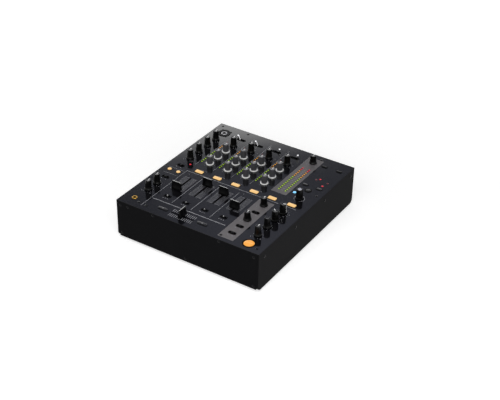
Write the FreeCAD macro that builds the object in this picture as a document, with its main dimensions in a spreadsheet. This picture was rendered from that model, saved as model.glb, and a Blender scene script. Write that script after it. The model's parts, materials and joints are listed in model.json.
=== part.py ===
import FreeCAD, Part
import math
import os
import Sketcher
from types import SimpleNamespace

# Four-channel mixer for a DJ booth, in millimetres.
# Origin: middle of the footprint on the table. X runs to the right, Y to the back, Z up.
# Columns are measured from the panel's left or right edge, rows from its front or back edge.
SIZES = {
    # case
    "panel_width": 320.0,
    "panel_depth": 358.0,
    "panel_height": 86.5,
    "panel_thick": 2.0,
    "panel_edge": 0.6,
    "sheet_thick": 1.5,
    "front_thick": 2.0,
    "flange_width": 14.0,
    "cheek_thick": 5.0,
    "cheek_drop": 2.0,
    "cheek_corner": 9.0,
    "foot_height": 6.5,
    "foot_diameter": 24.0,
    "foot_inset": 34.0,
    "vent_length": 46.0,
    "vent_width": 3.0,
    "vent_pitch": 8.0,
    "fit": 0.3,
    # columns and rows of the layout
    "left_column": 28.5,
    "phones_column": 24.5,
    "first_column": 73.4,
    "column_pitch": 42.8,
    "master_inset": 77.2,
    "effects_inset": 34.0,
    "back_inset": 32.0,
    "lever_inset": 36.0,
    "trim_inset": 65.0,
    "cue_row": 170.0,
    "low_gap": 36.8,
    "mic_low_row": 202.5,
    "mic_pitch": 30.6,
    "round_cue_row": 146.6,
    "round_cue_gap": 21.0,
    "phones_switch_row": 118.5,
    "phones_mix_row": 90.5,
    "phones_level_row": 63.0,
    "phones_socket_row": 25.0,
    "fader_row": 116.0,
    "assign_row": 64.0,
    "crossfader_row": 24.0,
    "crossfader_middle": 136.5,
    "start_gap": 89.0,
    "balance_row": 139.5,
    "mono_row": 110.8,
    "booth_row": 82.0,
    "curve_row": 56.5,
    "second_curve_row": 31.0,
    "effect_knob_row": 198.5,
    "selector_row": 138.0,
    "channel_row": 109.8,
    "time_row": 82.0,
    "depth_row": 50.5,
    "on_row": 20.5,
    "tap_row": 232.3,
    "beat_rise": 15.5,
    "beat_gap": 30.5,
    "key_gap": 33.2,
    # knobs
    "knob_height": 21.5,
    "knob_lift": 0.6,
    "knob_top": 11.4,
    "knob_grip": 12.8,
    "knob_skirt": 16.0,
    "skirt_height": 2.2,
    "flare_height": 3.6,
    "short_height": 18.5,
    "selector_top": 12.6,
    "selector_grip": 13.8,
    "eq_height": 19.0,
    "eq_top": 11.2,
    "eq_grip": 12.2,
    "eq_skirt": 16.4,
    "ring_height": 2.2,
    "ring_step": 0.4,
    "knob_round": 1.2,
    "pointer_width": 1.2,
    "pointer_depth": 0.4,
    "shaft_diameter": 6.0,
    "shaft_seat": 7.0,
    # bodies under the panel
    "pot_side": 11.0,
    "pot_height": 9.0,
    "board_thick": 1.6,
    # faders
    "fader_travel": 45.0,
    "cap_length": 20.0,
    "cap_base": 7.6,
    "cap_ridge": 3.0,
    "cap_height": 16.9,
    "cap_foot": 3.0,
    "cap_lift": 0.6,
    "cap_hollow": 50.0,
    "stem_width": 1.6,
    "stem_length": 4.0,
    "fader_unit_width": 11.0,
    "fader_unit_height": 12.0,
    # levers and slide switches
    "lever_reach": 12.0,
    "lever_width": 3.4,
    "lever_tip": 4.6,
    "lever_thick": 3.2,
    "lever_hub": 6.0,
    "lever_sink": 6.0,
    "lever_tilt": 28.0,
    "lever_slot": 17.0,
    "lever_body": 16.0,
    "slide_travel": 6.0,
    "slide_width": 3.8,
    "slide_length": 4.2,
    "slide_rise": 2.4,
    "slide_seat": 6.0,
    "slide_body": 17.0,
    # buttons
    "cue_length": 16.8,
    "cue_width": 8.4,
    "cue_corner": 1.6,
    "round_cue": 8.0,
    "start_length": 22.0,
    "start_width": 6.4,
    "tap_diameter": 9.0,
    "beat_length": 11.0,
    "beat_width": 5.0,
    "key_length": 11.0,
    "key_width": 4.6,
    "on_diameter": 20.0,
    "button_rise": 1.6,
    "button_sink": 4.0,
    "button_edge": 0.6,
    "button_travel": 0.8,
    "push_side": 6.0,
    # lamps
    "lamp_length": 3.4,
    "lamp_width": 2.0,
    "lamp_rise": 0.2,
    "guide_width": 4.4,
    "guide_height": 3.0,
    "lamp_row": 206.4,
    "lamp_run": 92.0,
    "meter_gap": 15.0,
    "lamp_diameter": 4.0,
    "mic_lamp": 13.5,
    # sockets
    "mic_flange": 26.0,
    "mic_barrel": 22.0,
    "mic_depth": 30.0,
    "plug_bore": 6.6,
    "phones_flange": 11.0,
    "phones_barrel": 9.4,
    "phones_depth": 30.0,
    "flange_rise": 1.2,
    "jack_reach": 10.0,
    "jack_barrel": 8.3,
    "jack_bore": 3.4,
    "jack_pitch": 19.0,
    "jack_strip": 34.0,
    "jack_row_gap": 18.0,
    "rear_margin": 8.0,
    "rear_gap": 3.5,
    "xlr_flange": 26.0,
    "xlr_bore": 19.0,
    "xlr_depth": 18.0,
    "xlr_wall": 2.0,
    "xlr_pin": 2.4,
    "xlr_reach": 12.6,
    "xlr_spread": 6.6,
    "inlet_length": 39.8,
    "inlet_width": 29.2,
    "inlet_opening": 24.2,
    "inlet_drop": 16.2,
    "inlet_wall": 2.6,
    "inlet_depth": 19.0,
    "blade_gap": 14.0,
    "blade_rise": 4.0,
    "blade_thick": 2.0,
    "blade_height": 4.0,
    "blade_reach": 11.0,
    "rocker_height": 19.0,
    "rocker_width": 12.0,
    "rocker_dish": 2.4,
    "rocker_lip": 4.2,
    "rocker_back": 3.8,
    "rocker_tilt": 7.0,
    "switch_depth": 14.0,
    # power supply
    "supply_length": 120.0,
    "supply_width": 70.0,
    "coil_side": 42.0,
    "coil_height": 34.0,
    "fin_height": 24.0,
    "fin_run": 21.0,
    "post_height": 5.0,
}
CHANNELS = 4
LAMPS = 15
VENTS = 13
JACK_COLUMNS = 4
FINS = 5
PIN_ANGLES = (30, 150, 270)
OUTLINES_PER_SKETCH = 6
# Where the faders stand at rest, as shares of their travel from the front.
FADER_REST = (0.0, 0.945, 0.78, 0.167)
# Lamps of the effects section, measured from its column and its beat buttons.
EFFECT_LAMPS = ((-20.3, -35.4), (-6.5, 27.4), (-0.5, 33.0), (15.0, 13.6), (18.9, 27.6))
# Turned rest positions of two selector knobs, in degrees to the left of straight back.
KNOB_REST = {"effect_select_knob": -82.0, "effect_channel_knob": 52.0}


class Size:
    """A length in millimetres together with the sheet formula that gives it."""

    def __init__(self, value, text):
        self.value = float(value)
        self.text = text

    def __add__(self, other):
        other = as_size(other)
        return Size(self.value + other.value, f"({self.text} + {other.text})")

    def __sub__(self, other):
        other = as_size(other)
        return Size(self.value - other.value, f"({self.text} - {other.text})")

    def __mul__(self, factor):
        return Size(self.value * factor, f"({self.text} * {factor})")

    def __truediv__(self, factor):
        return Size(self.value / factor, f"({self.text} / {factor})")

    def __neg__(self):
        return Size(-self.value, f"(0 - {self.text})")


def as_size(number):
    if isinstance(number, Size):
        return number
    return Size(number, f"({number})")


doc = FreeCAD.newDocument("Mixer")
sheet = doc.addObject("Spreadsheet::Sheet", "Sizes")
for row, (name, number) in enumerate(SIZES.items(), start=1):
    sheet.set(f"A{row}", name)
    sheet.set(f"B{row}", str(number))
    sheet.setAlias(f"B{row}", name)
doc.recompute()
s = SimpleNamespace(**{name: Size(number, f"Sizes.{name}") for name, number in SIZES.items()})
parts = []


# Helpers: bodies, sketches and features bound to the sheet

def bind(item, path, size):
    item.setExpression(path, as_size(size).text)


def new_body(label, x=0, y=0, z=0):
    body = doc.addObject("PartDesign::Body", label)
    body.Label = label
    bind(body, "Placement.Base.x", x)
    bind(body, "Placement.Base.y", y)
    bind(body, "Placement.Base.z", z)
    parts.append(body)
    return body


class Drawing:
    """Curves and rules that go into one sketch together, each size bound to the sheet."""

    def __init__(self, body, plane, offset):
        self.sketch = body.newObject("Sketcher::SketchObject", body.Name + "_outline")
        origin = next(item for item in body.Origin.OriginFeatures if item.Role == plane)
        self.sketch.AttachmentSupport = [(origin, "")]
        self.sketch.MapMode = "FlatFace"
        bind(self.sketch, "AttachmentOffset.Base.z", offset)
        self.curves = []
        self.rules = []
        self.sizes = {}

    def curve(self, shape):
        self.curves.append(shape)
        return len(self.curves) - 1

    def rule(self, *terms, size=None):
        if size is not None:
            self.sizes[len(self.rules)] = size
            terms = (*terms, size.value)
        self.rules.append(Sketcher.Constraint(*terms))

    def pin(self, curve, end, x, y):
        """Hold one point of a curve at x, y from the sketch's origin."""
        for kind, axis, size in (("DistanceX", -2, as_size(x)), ("DistanceY", -1, as_size(y))):
            if abs(size.value) < 1e-6:
                self.rule("PointOnObject", curve, end, axis)
            elif size.value > 0:
                self.rule(kind, -1, 1, curve, end, size=size)
            else:
                self.rule(kind, curve, end, -1, 1, size=-size)

    def finish(self):
        self.sketch.addGeometry(self.curves, False)
        self.sketch.addConstraint(self.rules)
        for index, size in self.sizes.items():
            bind(self.sketch, f"Constraints[{index}]", size)
        return self.sketch


def new_sketch(body, plane="XY_Plane", offset=0):
    return Drawing(body, plane, offset)


def flat(x, y):
    return FreeCAD.Vector(as_size(x).value, as_size(y).value, 0)


def polygon(sketch, corners):
    """A closed outline of straight sides through pinned corners."""
    ends = corners[1:] + corners[:1]
    sides = [sketch.curve(Part.LineSegment(flat(*start), flat(*end))) for start, end in zip(corners, ends)]
    for side, following, corner in zip(sides, sides[1:] + sides[:1], corners):
        sketch.rule("Coincident", side, 2, following, 1)
        sketch.pin(side, 1, *corner)


def rectangle(sketch, x, y, length, width):
    """A rectangle round x, y, length along the sketch's first axis."""
    x, y = as_size(x), as_size(y)
    half_x, half_y = as_size(length) / 2, as_size(width) / 2
    polygon(sketch, [(x - half_x, y - half_y), (x + half_x, y - half_y),
                     (x + half_x, y + half_y), (x - half_x, y + half_y)])


def circle(sketch, x, y, diameter):
    radius = as_size(diameter) / 2
    ring = sketch.curve(Part.Circle(flat(x, y), FreeCAD.Vector(0, 0, 1), radius.value))
    sketch.pin(ring, 3, x, y)
    sketch.rule("Radius", ring, size=radius)


def pill(sketch, x, y, length, width, upright=False):
    """A slot with round ends, along the first axis, or the second where upright."""
    x, y = as_size(x), as_size(y)
    reach, radius = (length - width) / 2, width / 2
    turn = math.pi / 2 if upright else 0.0
    low = (x, y - reach) if upright else (x - reach, y)
    high = (x, y + reach) if upright else (x + reach, y)
    arcs = []
    for centre, begin in ((low, math.pi / 2), (high, -math.pi / 2)):
        ring = Part.Circle(flat(*centre), FreeCAD.Vector(0, 0, 1), radius.value)
        arc = Part.ArcOfCircle(ring, begin + turn, begin + turn + math.pi)
        arcs.append((sketch.curve(arc), arc))
        sketch.pin(arcs[-1][0], 3, *centre)
        sketch.rule("Radius", arcs[-1][0], size=radius)
    for (start, start_arc), (end, end_arc) in (arcs, arcs[::-1]):
        side = sketch.curve(Part.LineSegment(start_arc.EndPoint, end_arc.StartPoint))
        sketch.rule("Tangent", start, 2, side, 1)
        sketch.rule("Tangent", side, 2, end, 1)


def feature(body, kind, sketch):
    item = body.newObject("PartDesign::" + kind, f"{body.Name}_{kind.lower()}")
    item.Profile = sketch.finish()
    return item


def pad(body, sketch, length, symmetric=False, reverse=False):
    item = feature(body, "Pad", sketch)
    bind(item, "Length", length)
    if symmetric:
        item.SideType = "Symmetric"
    item.Reversed = reverse
    return item


def pocket(body, sketch, depth=None, reverse=False):
    """A cut below the sketch, or above it where reversed; right through where no depth is given."""
    doc.recompute([body])
    before = body.Shape.Volume
    item = feature(body, "Pocket", sketch)
    if depth is None:
        item.Type = "ThroughAll"
    else:
        bind(item, "Length", depth)
    item.Reversed = reverse
    doc.recompute([body])
    if body.Shape.Volume > before - 1e-3:
        raise RuntimeError(f"a cut in {body.Label} removed nothing")
    return item


def revolve(body, sketch):
    item = feature(body, "Revolution", sketch)
    item.ReferenceAxis = (sketch.sketch, ["V_Axis"])
    item.Angle = 360.0
    return item


def fillet(body, base, size, wanted):
    """Round the edges of base that wanted picks by their bounding box."""
    doc.recompute([body])
    edges = enumerate(base.Shape.Edges, start=1)
    names = [f"Edge{index}" for index, edge in edges if wanted(edge.BoundBox)]
    item = body.newObject("PartDesign::Fillet", f"{body.Name}_fillet")
    item.Base = (base, names)
    bind(item, "Radius", size)
    return item


def repeat(body, item, axis, length, count):
    """A row of count copies of a feature over a length along one of the body's axes."""
    doc.recompute([body])
    row = body.newObject("PartDesign::LinearPattern", f"{body.Name}_row")
    row.Originals = [item]
    row.Direction = (next(line for line in body.Origin.OriginFeatures if line.Role == axis), [""])
    bind(row, "Length", length)
    row.Occurrences = count
    body.Tip = row
    doc.recompute([body])
    return row


def at_each(body, spots, draw, make, offset=0):
    """Draw an outline at every spot, a few to a sketch, and hand each sketch on to make."""
    for start in range(0, len(spots), OUTLINES_PER_SKETCH):
        sketch = new_sketch(body, offset=offset)
        for x, y in spots[start:start + OUTLINES_PER_SKETCH]:
            draw(sketch, x, y)
        make(sketch)


# Places that several pieces share

case_depth = s.panel_depth + s.jack_reach
left_edge = -s.panel_width / 2
front_edge = -case_depth / 2
back_edge = front_edge + s.panel_depth
under_panel = s.panel_height - s.panel_thick
board_top = under_panel - s.pot_height
floor_top = s.foot_height + s.sheet_thick
inner_width = s.panel_width - s.cheek_thick * 2

left_x = s.left_column
master_x = s.panel_width - s.master_inset
effects_x = s.panel_width - s.effects_inset
channel_x = [s.first_column + s.column_pitch * index for index in range(CHANNELS)]
back_y = s.panel_depth - s.back_inset
lever_y = s.panel_depth - s.lever_inset
trim_y = s.panel_depth - s.trim_inset
low_y = s.cue_row + s.low_gap
row_pitch = (trim_y - low_y) / 3
eq_rows = {"low": low_y, "mid": low_y + row_pitch, "high": low_y + row_pitch * 2}
beat_y = s.tap_row + s.beat_rise
fader_slot = s.fader_travel + s.stem_length + s.fit * 4
slot_width = s.stem_width + s.fit * 4
fader_unit_length = fader_slot + s.pot_side


def knob_table():
    """Every knob as label, column, row and kind."""
    table = []
    for index, name in enumerate(("mic_low_knob", "mic_high_knob", "mic_two_knob", "mic_one_knob")):
        table.append((name, left_x, s.mic_low_row + s.mic_pitch * index, "tall"))
    table.append(("phones_mix_knob", left_x, s.phones_mix_row, "tall"))
    table.append(("phones_level_knob", left_x, s.phones_level_row, "tall"))
    for index, column in enumerate(channel_x, start=1):
        table.append((f"trim_{index}_knob", column, trim_y, "tall"))
        for band, row in eq_rows.items():
            table.append((f"{band}_{index}_knob", column, row, "ringed"))
    table.append(("master_level_knob", master_x, back_y, "short"))
    table.append(("balance_knob", master_x, s.balance_row, "short"))
    table.append(("booth_level_knob", master_x, s.booth_row, "short"))
    table.append(("effect_amount_knob", effects_x, s.effect_knob_row, "selector"))
    table.append(("effect_select_knob", effects_x, s.selector_row, "selector"))
    table.append(("effect_channel_knob", effects_x, s.channel_row, "selector"))
    table.append(("effect_time_knob", effects_x, s.time_row, "tall"))
    table.append(("effect_depth_knob", effects_x, s.depth_row, "tall"))
    return table


knobs = knob_table()
knob_spots = [(x, y) for label, x, y, kind in knobs]
lever_spots = [(x, lever_y) for x in channel_x]
fader_spots = [(x, s.fader_row) for x in channel_x]
assign_spots = [(column, s.assign_row) for column in channel_x]
mode_spots = [(left_x, s.cue_row), (left_x, s.phones_switch_row), (master_x, s.mono_row),
              (master_x, s.curve_row), (master_x, s.second_curve_row)]
slide_spots = assign_spots + mode_spots
cue_spots = [(column, s.cue_row) for column in (*channel_x, master_x, effects_x)]
round_cue_spots = [(left_x - s.round_cue_gap / 2, s.round_cue_row),
                   (left_x + s.round_cue_gap / 2, s.round_cue_row)]
start_spots = [(s.crossfader_middle - s.start_gap / 2, s.crossfader_row),
               (s.crossfader_middle + s.start_gap / 2, s.crossfader_row)]
beat_spots = [(effects_x - s.beat_gap / 2, beat_y), (effects_x + s.beat_gap / 2, beat_y)]
key_spots = [(effects_x - s.key_gap / 2, back_y), (effects_x + s.key_gap / 2, back_y)]
button_spots = cue_spots + round_cue_spots + start_spots + beat_spots + key_spots
button_spots += [(effects_x, s.tap_row), (effects_x, s.on_row)]
lamp_columns = [column - s.column_pitch / 2 + s.guide_width / 2 for column in channel_x]
lamp_columns += [master_x - s.meter_gap / 2, master_x + s.meter_gap / 2]
single_lamps = [(left_x + s.mic_lamp, s.cue_row + s.mic_lamp)]
single_lamps += [(effects_x + across, beat_y + along) for across, along in EFFECT_LAMPS]


# Case: floor, side, front, rear and top panels, feet

def make_bottom_chassis():
    body = new_body("bottom_chassis", 0, 0, s.foot_height)
    depth = s.panel_depth - s.front_thick - s.sheet_thick
    middle = front_edge + s.front_thick + depth / 2
    plate = new_sketch(body)
    rectangle(plate, 0, middle, inner_width, depth)
    pad(body, plate, s.sheet_thick)
    for side in (-1, 1):
        lip = new_sketch(body, offset=s.sheet_thick)
        edge = (inner_width / 2 - s.sheet_thick / 2) * side
        rectangle(lip, edge, middle, s.sheet_thick, depth - s.flange_width * 2)
        pad(body, lip, s.flange_width * 2)
    for side in (-1, 1):
        vents = new_sketch(body, offset=s.sheet_thick)
        run = s.vent_pitch * (VENTS - 1)
        pill(vents, inner_width / 4 * side, middle - run / 2, s.vent_length, s.vent_width)
        repeat(body, pocket(body, vents), "Y_Axis", run, VENTS)


def make_side_panels():
    """Two plates with round lower corners that flank the front panel."""
    body = new_body("side_panels", 0, 0, s.foot_height - s.cheek_drop)
    height = under_panel - s.foot_height + s.cheek_drop
    outlines = new_sketch(body)
    for side in (-1, 1):
        middle = (inner_width + s.cheek_thick) / 2 * side
        rectangle(outlines, middle, front_edge + s.panel_depth / 2, s.cheek_thick, s.panel_depth)
    plates = pad(body, outlines, height)
    fillet(body, plates, s.cheek_corner, lambda box: box.XLength > 1 and box.YLength < 1 and box.ZMax < 1)


def make_front_panel():
    """A plate folded back at its foot, onto the floor."""
    body = new_body("front_panel", 0, front_edge, s.foot_height)
    fold = new_sketch(body, "YZ_Plane")
    polygon(fold, [(0, 0), (s.front_thick, 0), (s.front_thick, s.sheet_thick),
                   (s.flange_width, s.sheet_thick), (s.flange_width, s.sheet_thick + s.front_thick),
                   (s.front_thick, s.sheet_thick + s.front_thick),
                   (s.front_thick, under_panel - s.foot_height), (0, under_panel - s.foot_height)])
    pad(body, fold, inner_width, symmetric=True)


# Rear fittings from left to right along one line: two jack strips, two sockets, rocker, inlet.
jack_strip_z = (floor_top + under_panel) / 2 - s.sheet_thick
strip_length = s.jack_pitch * JACK_COLUMNS
strip_centres = [s.rear_margin - inner_width / 2 + strip_length / 2]
strip_centres += [strip_centres[0] + strip_length + s.rear_gap]
inlet_x = inner_width / 2 - s.rear_gap - s.inlet_length / 2
rocker_x = inlet_x - s.inlet_length / 2 - s.rear_margin - s.rocker_width / 2
xlr_centres = [strip_centres[1] + strip_length / 2 + s.rear_margin + s.xlr_flange / 2]
xlr_centres += [xlr_centres[0] + s.xlr_flange + s.rear_margin]
jack_spots = [(centre + s.jack_pitch * (column - (JACK_COLUMNS - 1) / 2), s.jack_row_gap / 2 * row)
              for centre in strip_centres for column in range(JACK_COLUMNS) for row in (-1, 1)]
pin_spots = [(math.cos(math.radians(angle)), math.sin(math.radians(angle))) for angle in PIN_ANGLES]


def make_rear_panel():
    """A plate folded forward at its foot, with an opening for each rear fitting."""
    body = new_body("rear_panel", 0, back_edge, s.foot_height)
    fold = new_sketch(body, "YZ_Plane")
    thick, height = s.sheet_thick, under_panel - s.foot_height
    polygon(fold, [(0, 0), (0, height), (-thick, height), (-thick, thick * 2),
                   (-s.flange_width, thick * 2), (-s.flange_width, thick), (-thick, thick), (-thick, 0)])
    pad(body, fold, inner_width, symmetric=True)
    # The sketch on the XZ plane faces the front, so the cut runs to the rear panel behind it.
    holes = new_sketch(body, "XZ_Plane", s.sheet_thick * 2)
    middle = jack_strip_z - s.foot_height
    for across, rise in jack_spots:
        circle(holes, across, middle + rise, s.jack_barrel + s.fit * 2)
    for centre in xlr_centres:
        circle(holes, centre, middle, s.xlr_bore + s.xlr_wall * 2 + s.fit * 2)
    rectangle(holes, inlet_x, middle, s.inlet_opening + s.inlet_wall * 2 + s.fit * 2,
              s.inlet_drop + s.inlet_wall * 2 + s.fit * 2)
    rectangle(holes, rocker_x, middle, s.rocker_width + s.fit * 2, s.rocker_height + s.fit * 2)
    pocket(body, holes, s.sheet_thick * 4)


def make_top_panel():
    """The control panel, pierced for every shaft, slot, button, lamp and socket."""
    body = new_body("top_panel", left_edge, front_edge, under_panel)
    plate = new_sketch(body)
    rectangle(plate, s.panel_width / 2, s.panel_depth / 2, s.panel_width, s.panel_depth)
    slab = pad(body, plate, s.panel_thick)
    top = s.panel_thick.value - 1e-3
    fillet(body, slab, s.panel_edge, lambda box: box.ZMin > top)
    shafts = new_sketch(body, offset=s.panel_thick)
    for x, y in knob_spots:
        circle(shafts, x, y, s.shaft_diameter + s.fit * 4)
    pocket(body, shafts)
    rounds = new_sketch(body, offset=s.panel_thick)
    circle(rounds, left_x, back_y, s.mic_barrel + s.fit * 2)
    circle(rounds, s.phones_column, s.phones_socket_row, s.phones_barrel + s.fit * 2)
    circle(rounds, effects_x, s.tap_row, s.tap_diameter + s.fit * 2)
    circle(rounds, effects_x, s.on_row, s.on_diameter + s.fit * 2)
    for x, y in round_cue_spots:
        circle(rounds, x, y, s.round_cue + s.fit * 2)
    for x, y in single_lamps:
        circle(rounds, x, y, s.lamp_diameter + s.fit)
    pocket(body, rounds)

    def cut_slots(spots, length, width, shape=pill):
        at_each(body, spots, lambda sketch, x, y: shape(sketch, x, y, length, width),
                lambda sketch: pocket(body, sketch), s.panel_thick)

    at_each(body, fader_spots, lambda sketch, x, y: pill(sketch, x, y, fader_slot, slot_width, True),
            lambda sketch: pocket(body, sketch), s.panel_thick)
    cut_slots([(s.crossfader_middle, s.crossfader_row)], fader_slot, slot_width)
    cut_slots(lever_spots, s.lever_slot, s.lever_thick + s.fit * 4)
    cut_slots(slide_spots, s.slide_travel + s.slide_length + s.slide_width, s.slide_width + s.fit * 4)
    cut_slots(start_spots, s.start_length + s.fit * 2, s.start_width + s.fit * 2)
    cut_slots(beat_spots, s.beat_length + s.fit * 2, s.beat_width + s.fit * 2)
    cut_slots(key_spots, s.key_length + s.fit * 2, s.key_width + s.fit * 2)
    cut_slots(cue_spots, s.cue_length + s.fit * 2, s.cue_width + s.fit * 2, rectangle)
    windows = new_sketch(body, offset=s.panel_thick)
    for x in lamp_columns:
        rectangle(windows, x, s.lamp_row, s.lamp_width + s.fit, s.lamp_length + s.fit)
    repeat(body, pocket(body, windows), "Y_Axis", s.lamp_run, LAMPS)


def make_feet():
    body = new_body("feet")
    discs = new_sketch(body)
    for side in (-1, 1):
        across = (s.panel_width / 2 - s.foot_inset) * side
        circle(discs, across, front_edge + s.foot_inset, s.foot_diameter)
        circle(discs, across, back_edge - s.foot_inset, s.foot_diameter)
    pads = pad(body, discs, s.foot_height)
    fillet(body, pads, s.sheet_thick, lambda box: box.ZMax < 1e-3)


# Under the panel: board, control bodies, fader units, light guides, power supply

def make_control_board():
    """One board under the whole panel, cut out round the fader units and the two sockets."""
    body = new_body("control_board", left_edge, front_edge, board_top - s.board_thick)
    outline = new_sketch(body)
    rectangle(outline, s.panel_width / 2, s.panel_depth / 2, s.panel_width - s.cheek_thick * 4,
              s.panel_depth - s.cheek_thick * 4)
    pad(body, outline, s.board_thick)
    holes = new_sketch(body, offset=s.board_thick)
    circle(holes, left_x, back_y, s.mic_barrel + s.fit * 2)
    circle(holes, s.phones_column, s.phones_socket_row, s.phones_barrel + s.fit * 2)
    length, width = fader_unit_length + s.fit * 2, s.fader_unit_width + s.fit * 2
    for x, y in fader_spots:
        rectangle(holes, x, y, width, length)
    rectangle(holes, s.crossfader_middle, s.crossfader_row, length, width)
    pocket(body, holes)


def make_control_bodies():
    """A potentiometer or switch body between the board and the panel under each control."""
    body = new_body("control_bodies", left_edge, front_edge, board_top)

    def blocks(spots, length, width, height):
        at_each(body, spots, lambda sketch, x, y: rectangle(sketch, x, y, length, width),
                lambda sketch: pad(body, sketch, height))

    def wells(spots, length, width, depth):
        at_each(body, spots, lambda sketch, x, y: rectangle(sketch, x, y, length, width),
                lambda sketch: pocket(body, sketch, depth), s.pot_height)

    blocks(knob_spots, s.pot_side, s.pot_side, s.pot_height)
    blocks(lever_spots, s.lever_body, s.pot_side, s.pot_height)
    blocks(slide_spots, s.slide_body, s.pot_side, s.pot_height)
    below_button = s.button_sink - s.panel_thick + s.button_travel + s.fit
    blocks(button_spots, s.push_side, s.push_side, s.pot_height - below_button)
    bores = new_sketch(body, offset=s.pot_height)
    for x, y in knob_spots:
        circle(bores, x, y, s.shaft_diameter + s.fit * 2)
    pocket(body, bores, s.shaft_seat + s.fit)
    wells(lever_spots, s.lever_body - s.sheet_thick * 2, s.lever_thick + s.fit * 2,
          s.lever_sink - s.panel_thick + s.lever_hub / 2 + s.fit)
    wells(slide_spots, s.slide_travel + s.slide_length + s.fit * 2, s.slide_width + s.fit * 2,
          s.slide_seat + s.fit)


def make_fader_units():
    """Five long slide potentiometers hung under the panel, each open along its top."""
    body = new_body("fader_units", left_edge, front_edge, under_panel - s.fader_unit_height)
    outlines = new_sketch(body)
    for x, y in fader_spots:
        rectangle(outlines, x, y, s.fader_unit_width, fader_unit_length)
    rectangle(outlines, s.crossfader_middle, s.crossfader_row, fader_unit_length, s.fader_unit_width)
    pad(body, outlines, s.fader_unit_height)
    tracks = new_sketch(body, offset=s.fader_unit_height)
    for x, y in fader_spots:
        pill(tracks, x, y, fader_slot, slot_width, upright=True)
    pill(tracks, s.crossfader_middle, s.crossfader_row, fader_slot, slot_width)
    pocket(body, tracks, s.fader_unit_height - s.sheet_thick)


def make_indicator_lights():
    """Six clear combs whose teeth fill the lamp windows, and the single lamps."""
    body = new_body("indicator_lights", left_edge, front_edge, under_panel - s.guide_height)
    bars = new_sketch(body)
    for x in lamp_columns:
        rectangle(bars, x, s.lamp_row + s.lamp_run / 2, s.guide_width, s.lamp_run + s.guide_width * 2)
    for x, y in single_lamps:
        circle(bars, x, y, s.lamp_diameter + s.fit * 4)
    pad(body, bars, s.guide_height)
    lenses = new_sketch(body, offset=s.guide_height)
    for x, y in single_lamps:
        circle(lenses, x, y, s.lamp_diameter)
    pad(body, lenses, s.panel_thick + s.lamp_rise)
    teeth = new_sketch(body, offset=s.guide_height)
    for x in lamp_columns:
        rectangle(teeth, x, s.lamp_row, s.lamp_width, s.lamp_length)
    repeat(body, pad(body, teeth, s.panel_thick + s.lamp_rise), "Y_Axis", s.lamp_run, LAMPS)


def make_power_supply():
    """A circuit board on four posts with a transformer block, at the back of the floor."""
    body = new_body("power_supply", s.panel_width / 5, back_edge - s.supply_width, floor_top)
    posts = new_sketch(body)
    for side in (-1, 1):
        for end in (-1, 1):
            circle(posts, (s.supply_length / 2 - s.post_height) * side,
                   (s.supply_width / 2 - s.post_height) * end, s.post_height)
    pad(body, posts, s.post_height)
    board = new_sketch(body, offset=s.post_height)
    rectangle(board, 0, 0, s.supply_length, s.supply_width)
    pad(body, board, s.board_thick)
    coil = new_sketch(body, offset=s.post_height + s.board_thick)
    rectangle(coil, s.supply_length / 2 - s.coil_side / 2 - s.post_height, 0, s.coil_side, s.coil_side)
    pad(body, coil, s.coil_height)
    fins = new_sketch(body, offset=s.post_height + s.board_thick)
    rectangle(fins, -s.supply_length / 2 + s.post_height * 2, 0, s.sheet_thick, s.coil_side)
    repeat(body, pad(body, fins, s.fin_height), "X_Axis", s.fin_run, FINS)


# Sockets on the panel and fittings on the rear

def make_mic_socket():
    """A combined socket: a round flange, a barrel, a plug bore and three contact holes round it."""
    body = new_body("mic_socket", left_edge + left_x, front_edge + back_y, s.panel_height - s.mic_depth)
    profile = new_sketch(body, "XZ_Plane")
    rim = s.mic_depth + s.flange_rise
    polygon(profile, [(s.plug_bore / 2, s.flange_rise), (s.mic_barrel / 2, s.flange_rise),
                      (s.mic_barrel / 2, s.mic_depth), (s.mic_flange / 2, s.mic_depth),
                      (s.mic_flange / 2, rim), (s.mic_barrel / 2 - s.sheet_thick, rim),
                      (s.mic_barrel / 2 - s.sheet_thick, s.mic_depth - s.sheet_thick),
                      (s.plug_bore / 2, s.mic_depth - s.sheet_thick)])
    revolve(body, profile)
    base = new_sketch(body)
    circle(base, 0, 0, s.mic_barrel)
    pad(body, base, s.flange_rise)
    contacts = new_sketch(body, offset=s.mic_depth)
    ring = s.mic_barrel / 2 - s.sheet_thick - s.jack_bore
    for across, along in pin_spots:
        circle(contacts, ring * across, ring * along, s.jack_bore)
    pocket(body, contacts, s.mic_barrel / 2)


def make_phones_socket():
    """A jack with a ring nut on the panel and a blind plug bore."""
    body = new_body("phones_socket", left_edge + s.phones_column, front_edge + s.phones_socket_row,
                    s.panel_height - s.phones_depth)
    profile = new_sketch(body, "XZ_Plane")
    rim = s.phones_depth + s.flange_rise
    polygon(profile, [(0, 0), (s.phones_barrel / 2, 0), (s.phones_barrel / 2, s.phones_depth),
                      (s.phones_flange / 2, s.phones_depth), (s.phones_flange / 2, rim - s.fit),
                      (s.phones_flange / 2 - s.flange_rise, rim), (s.plug_bore / 2, rim),
                      (s.plug_bore / 2, s.sheet_thick), (0, s.sheet_thick)])
    revolve(body, profile)


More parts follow.
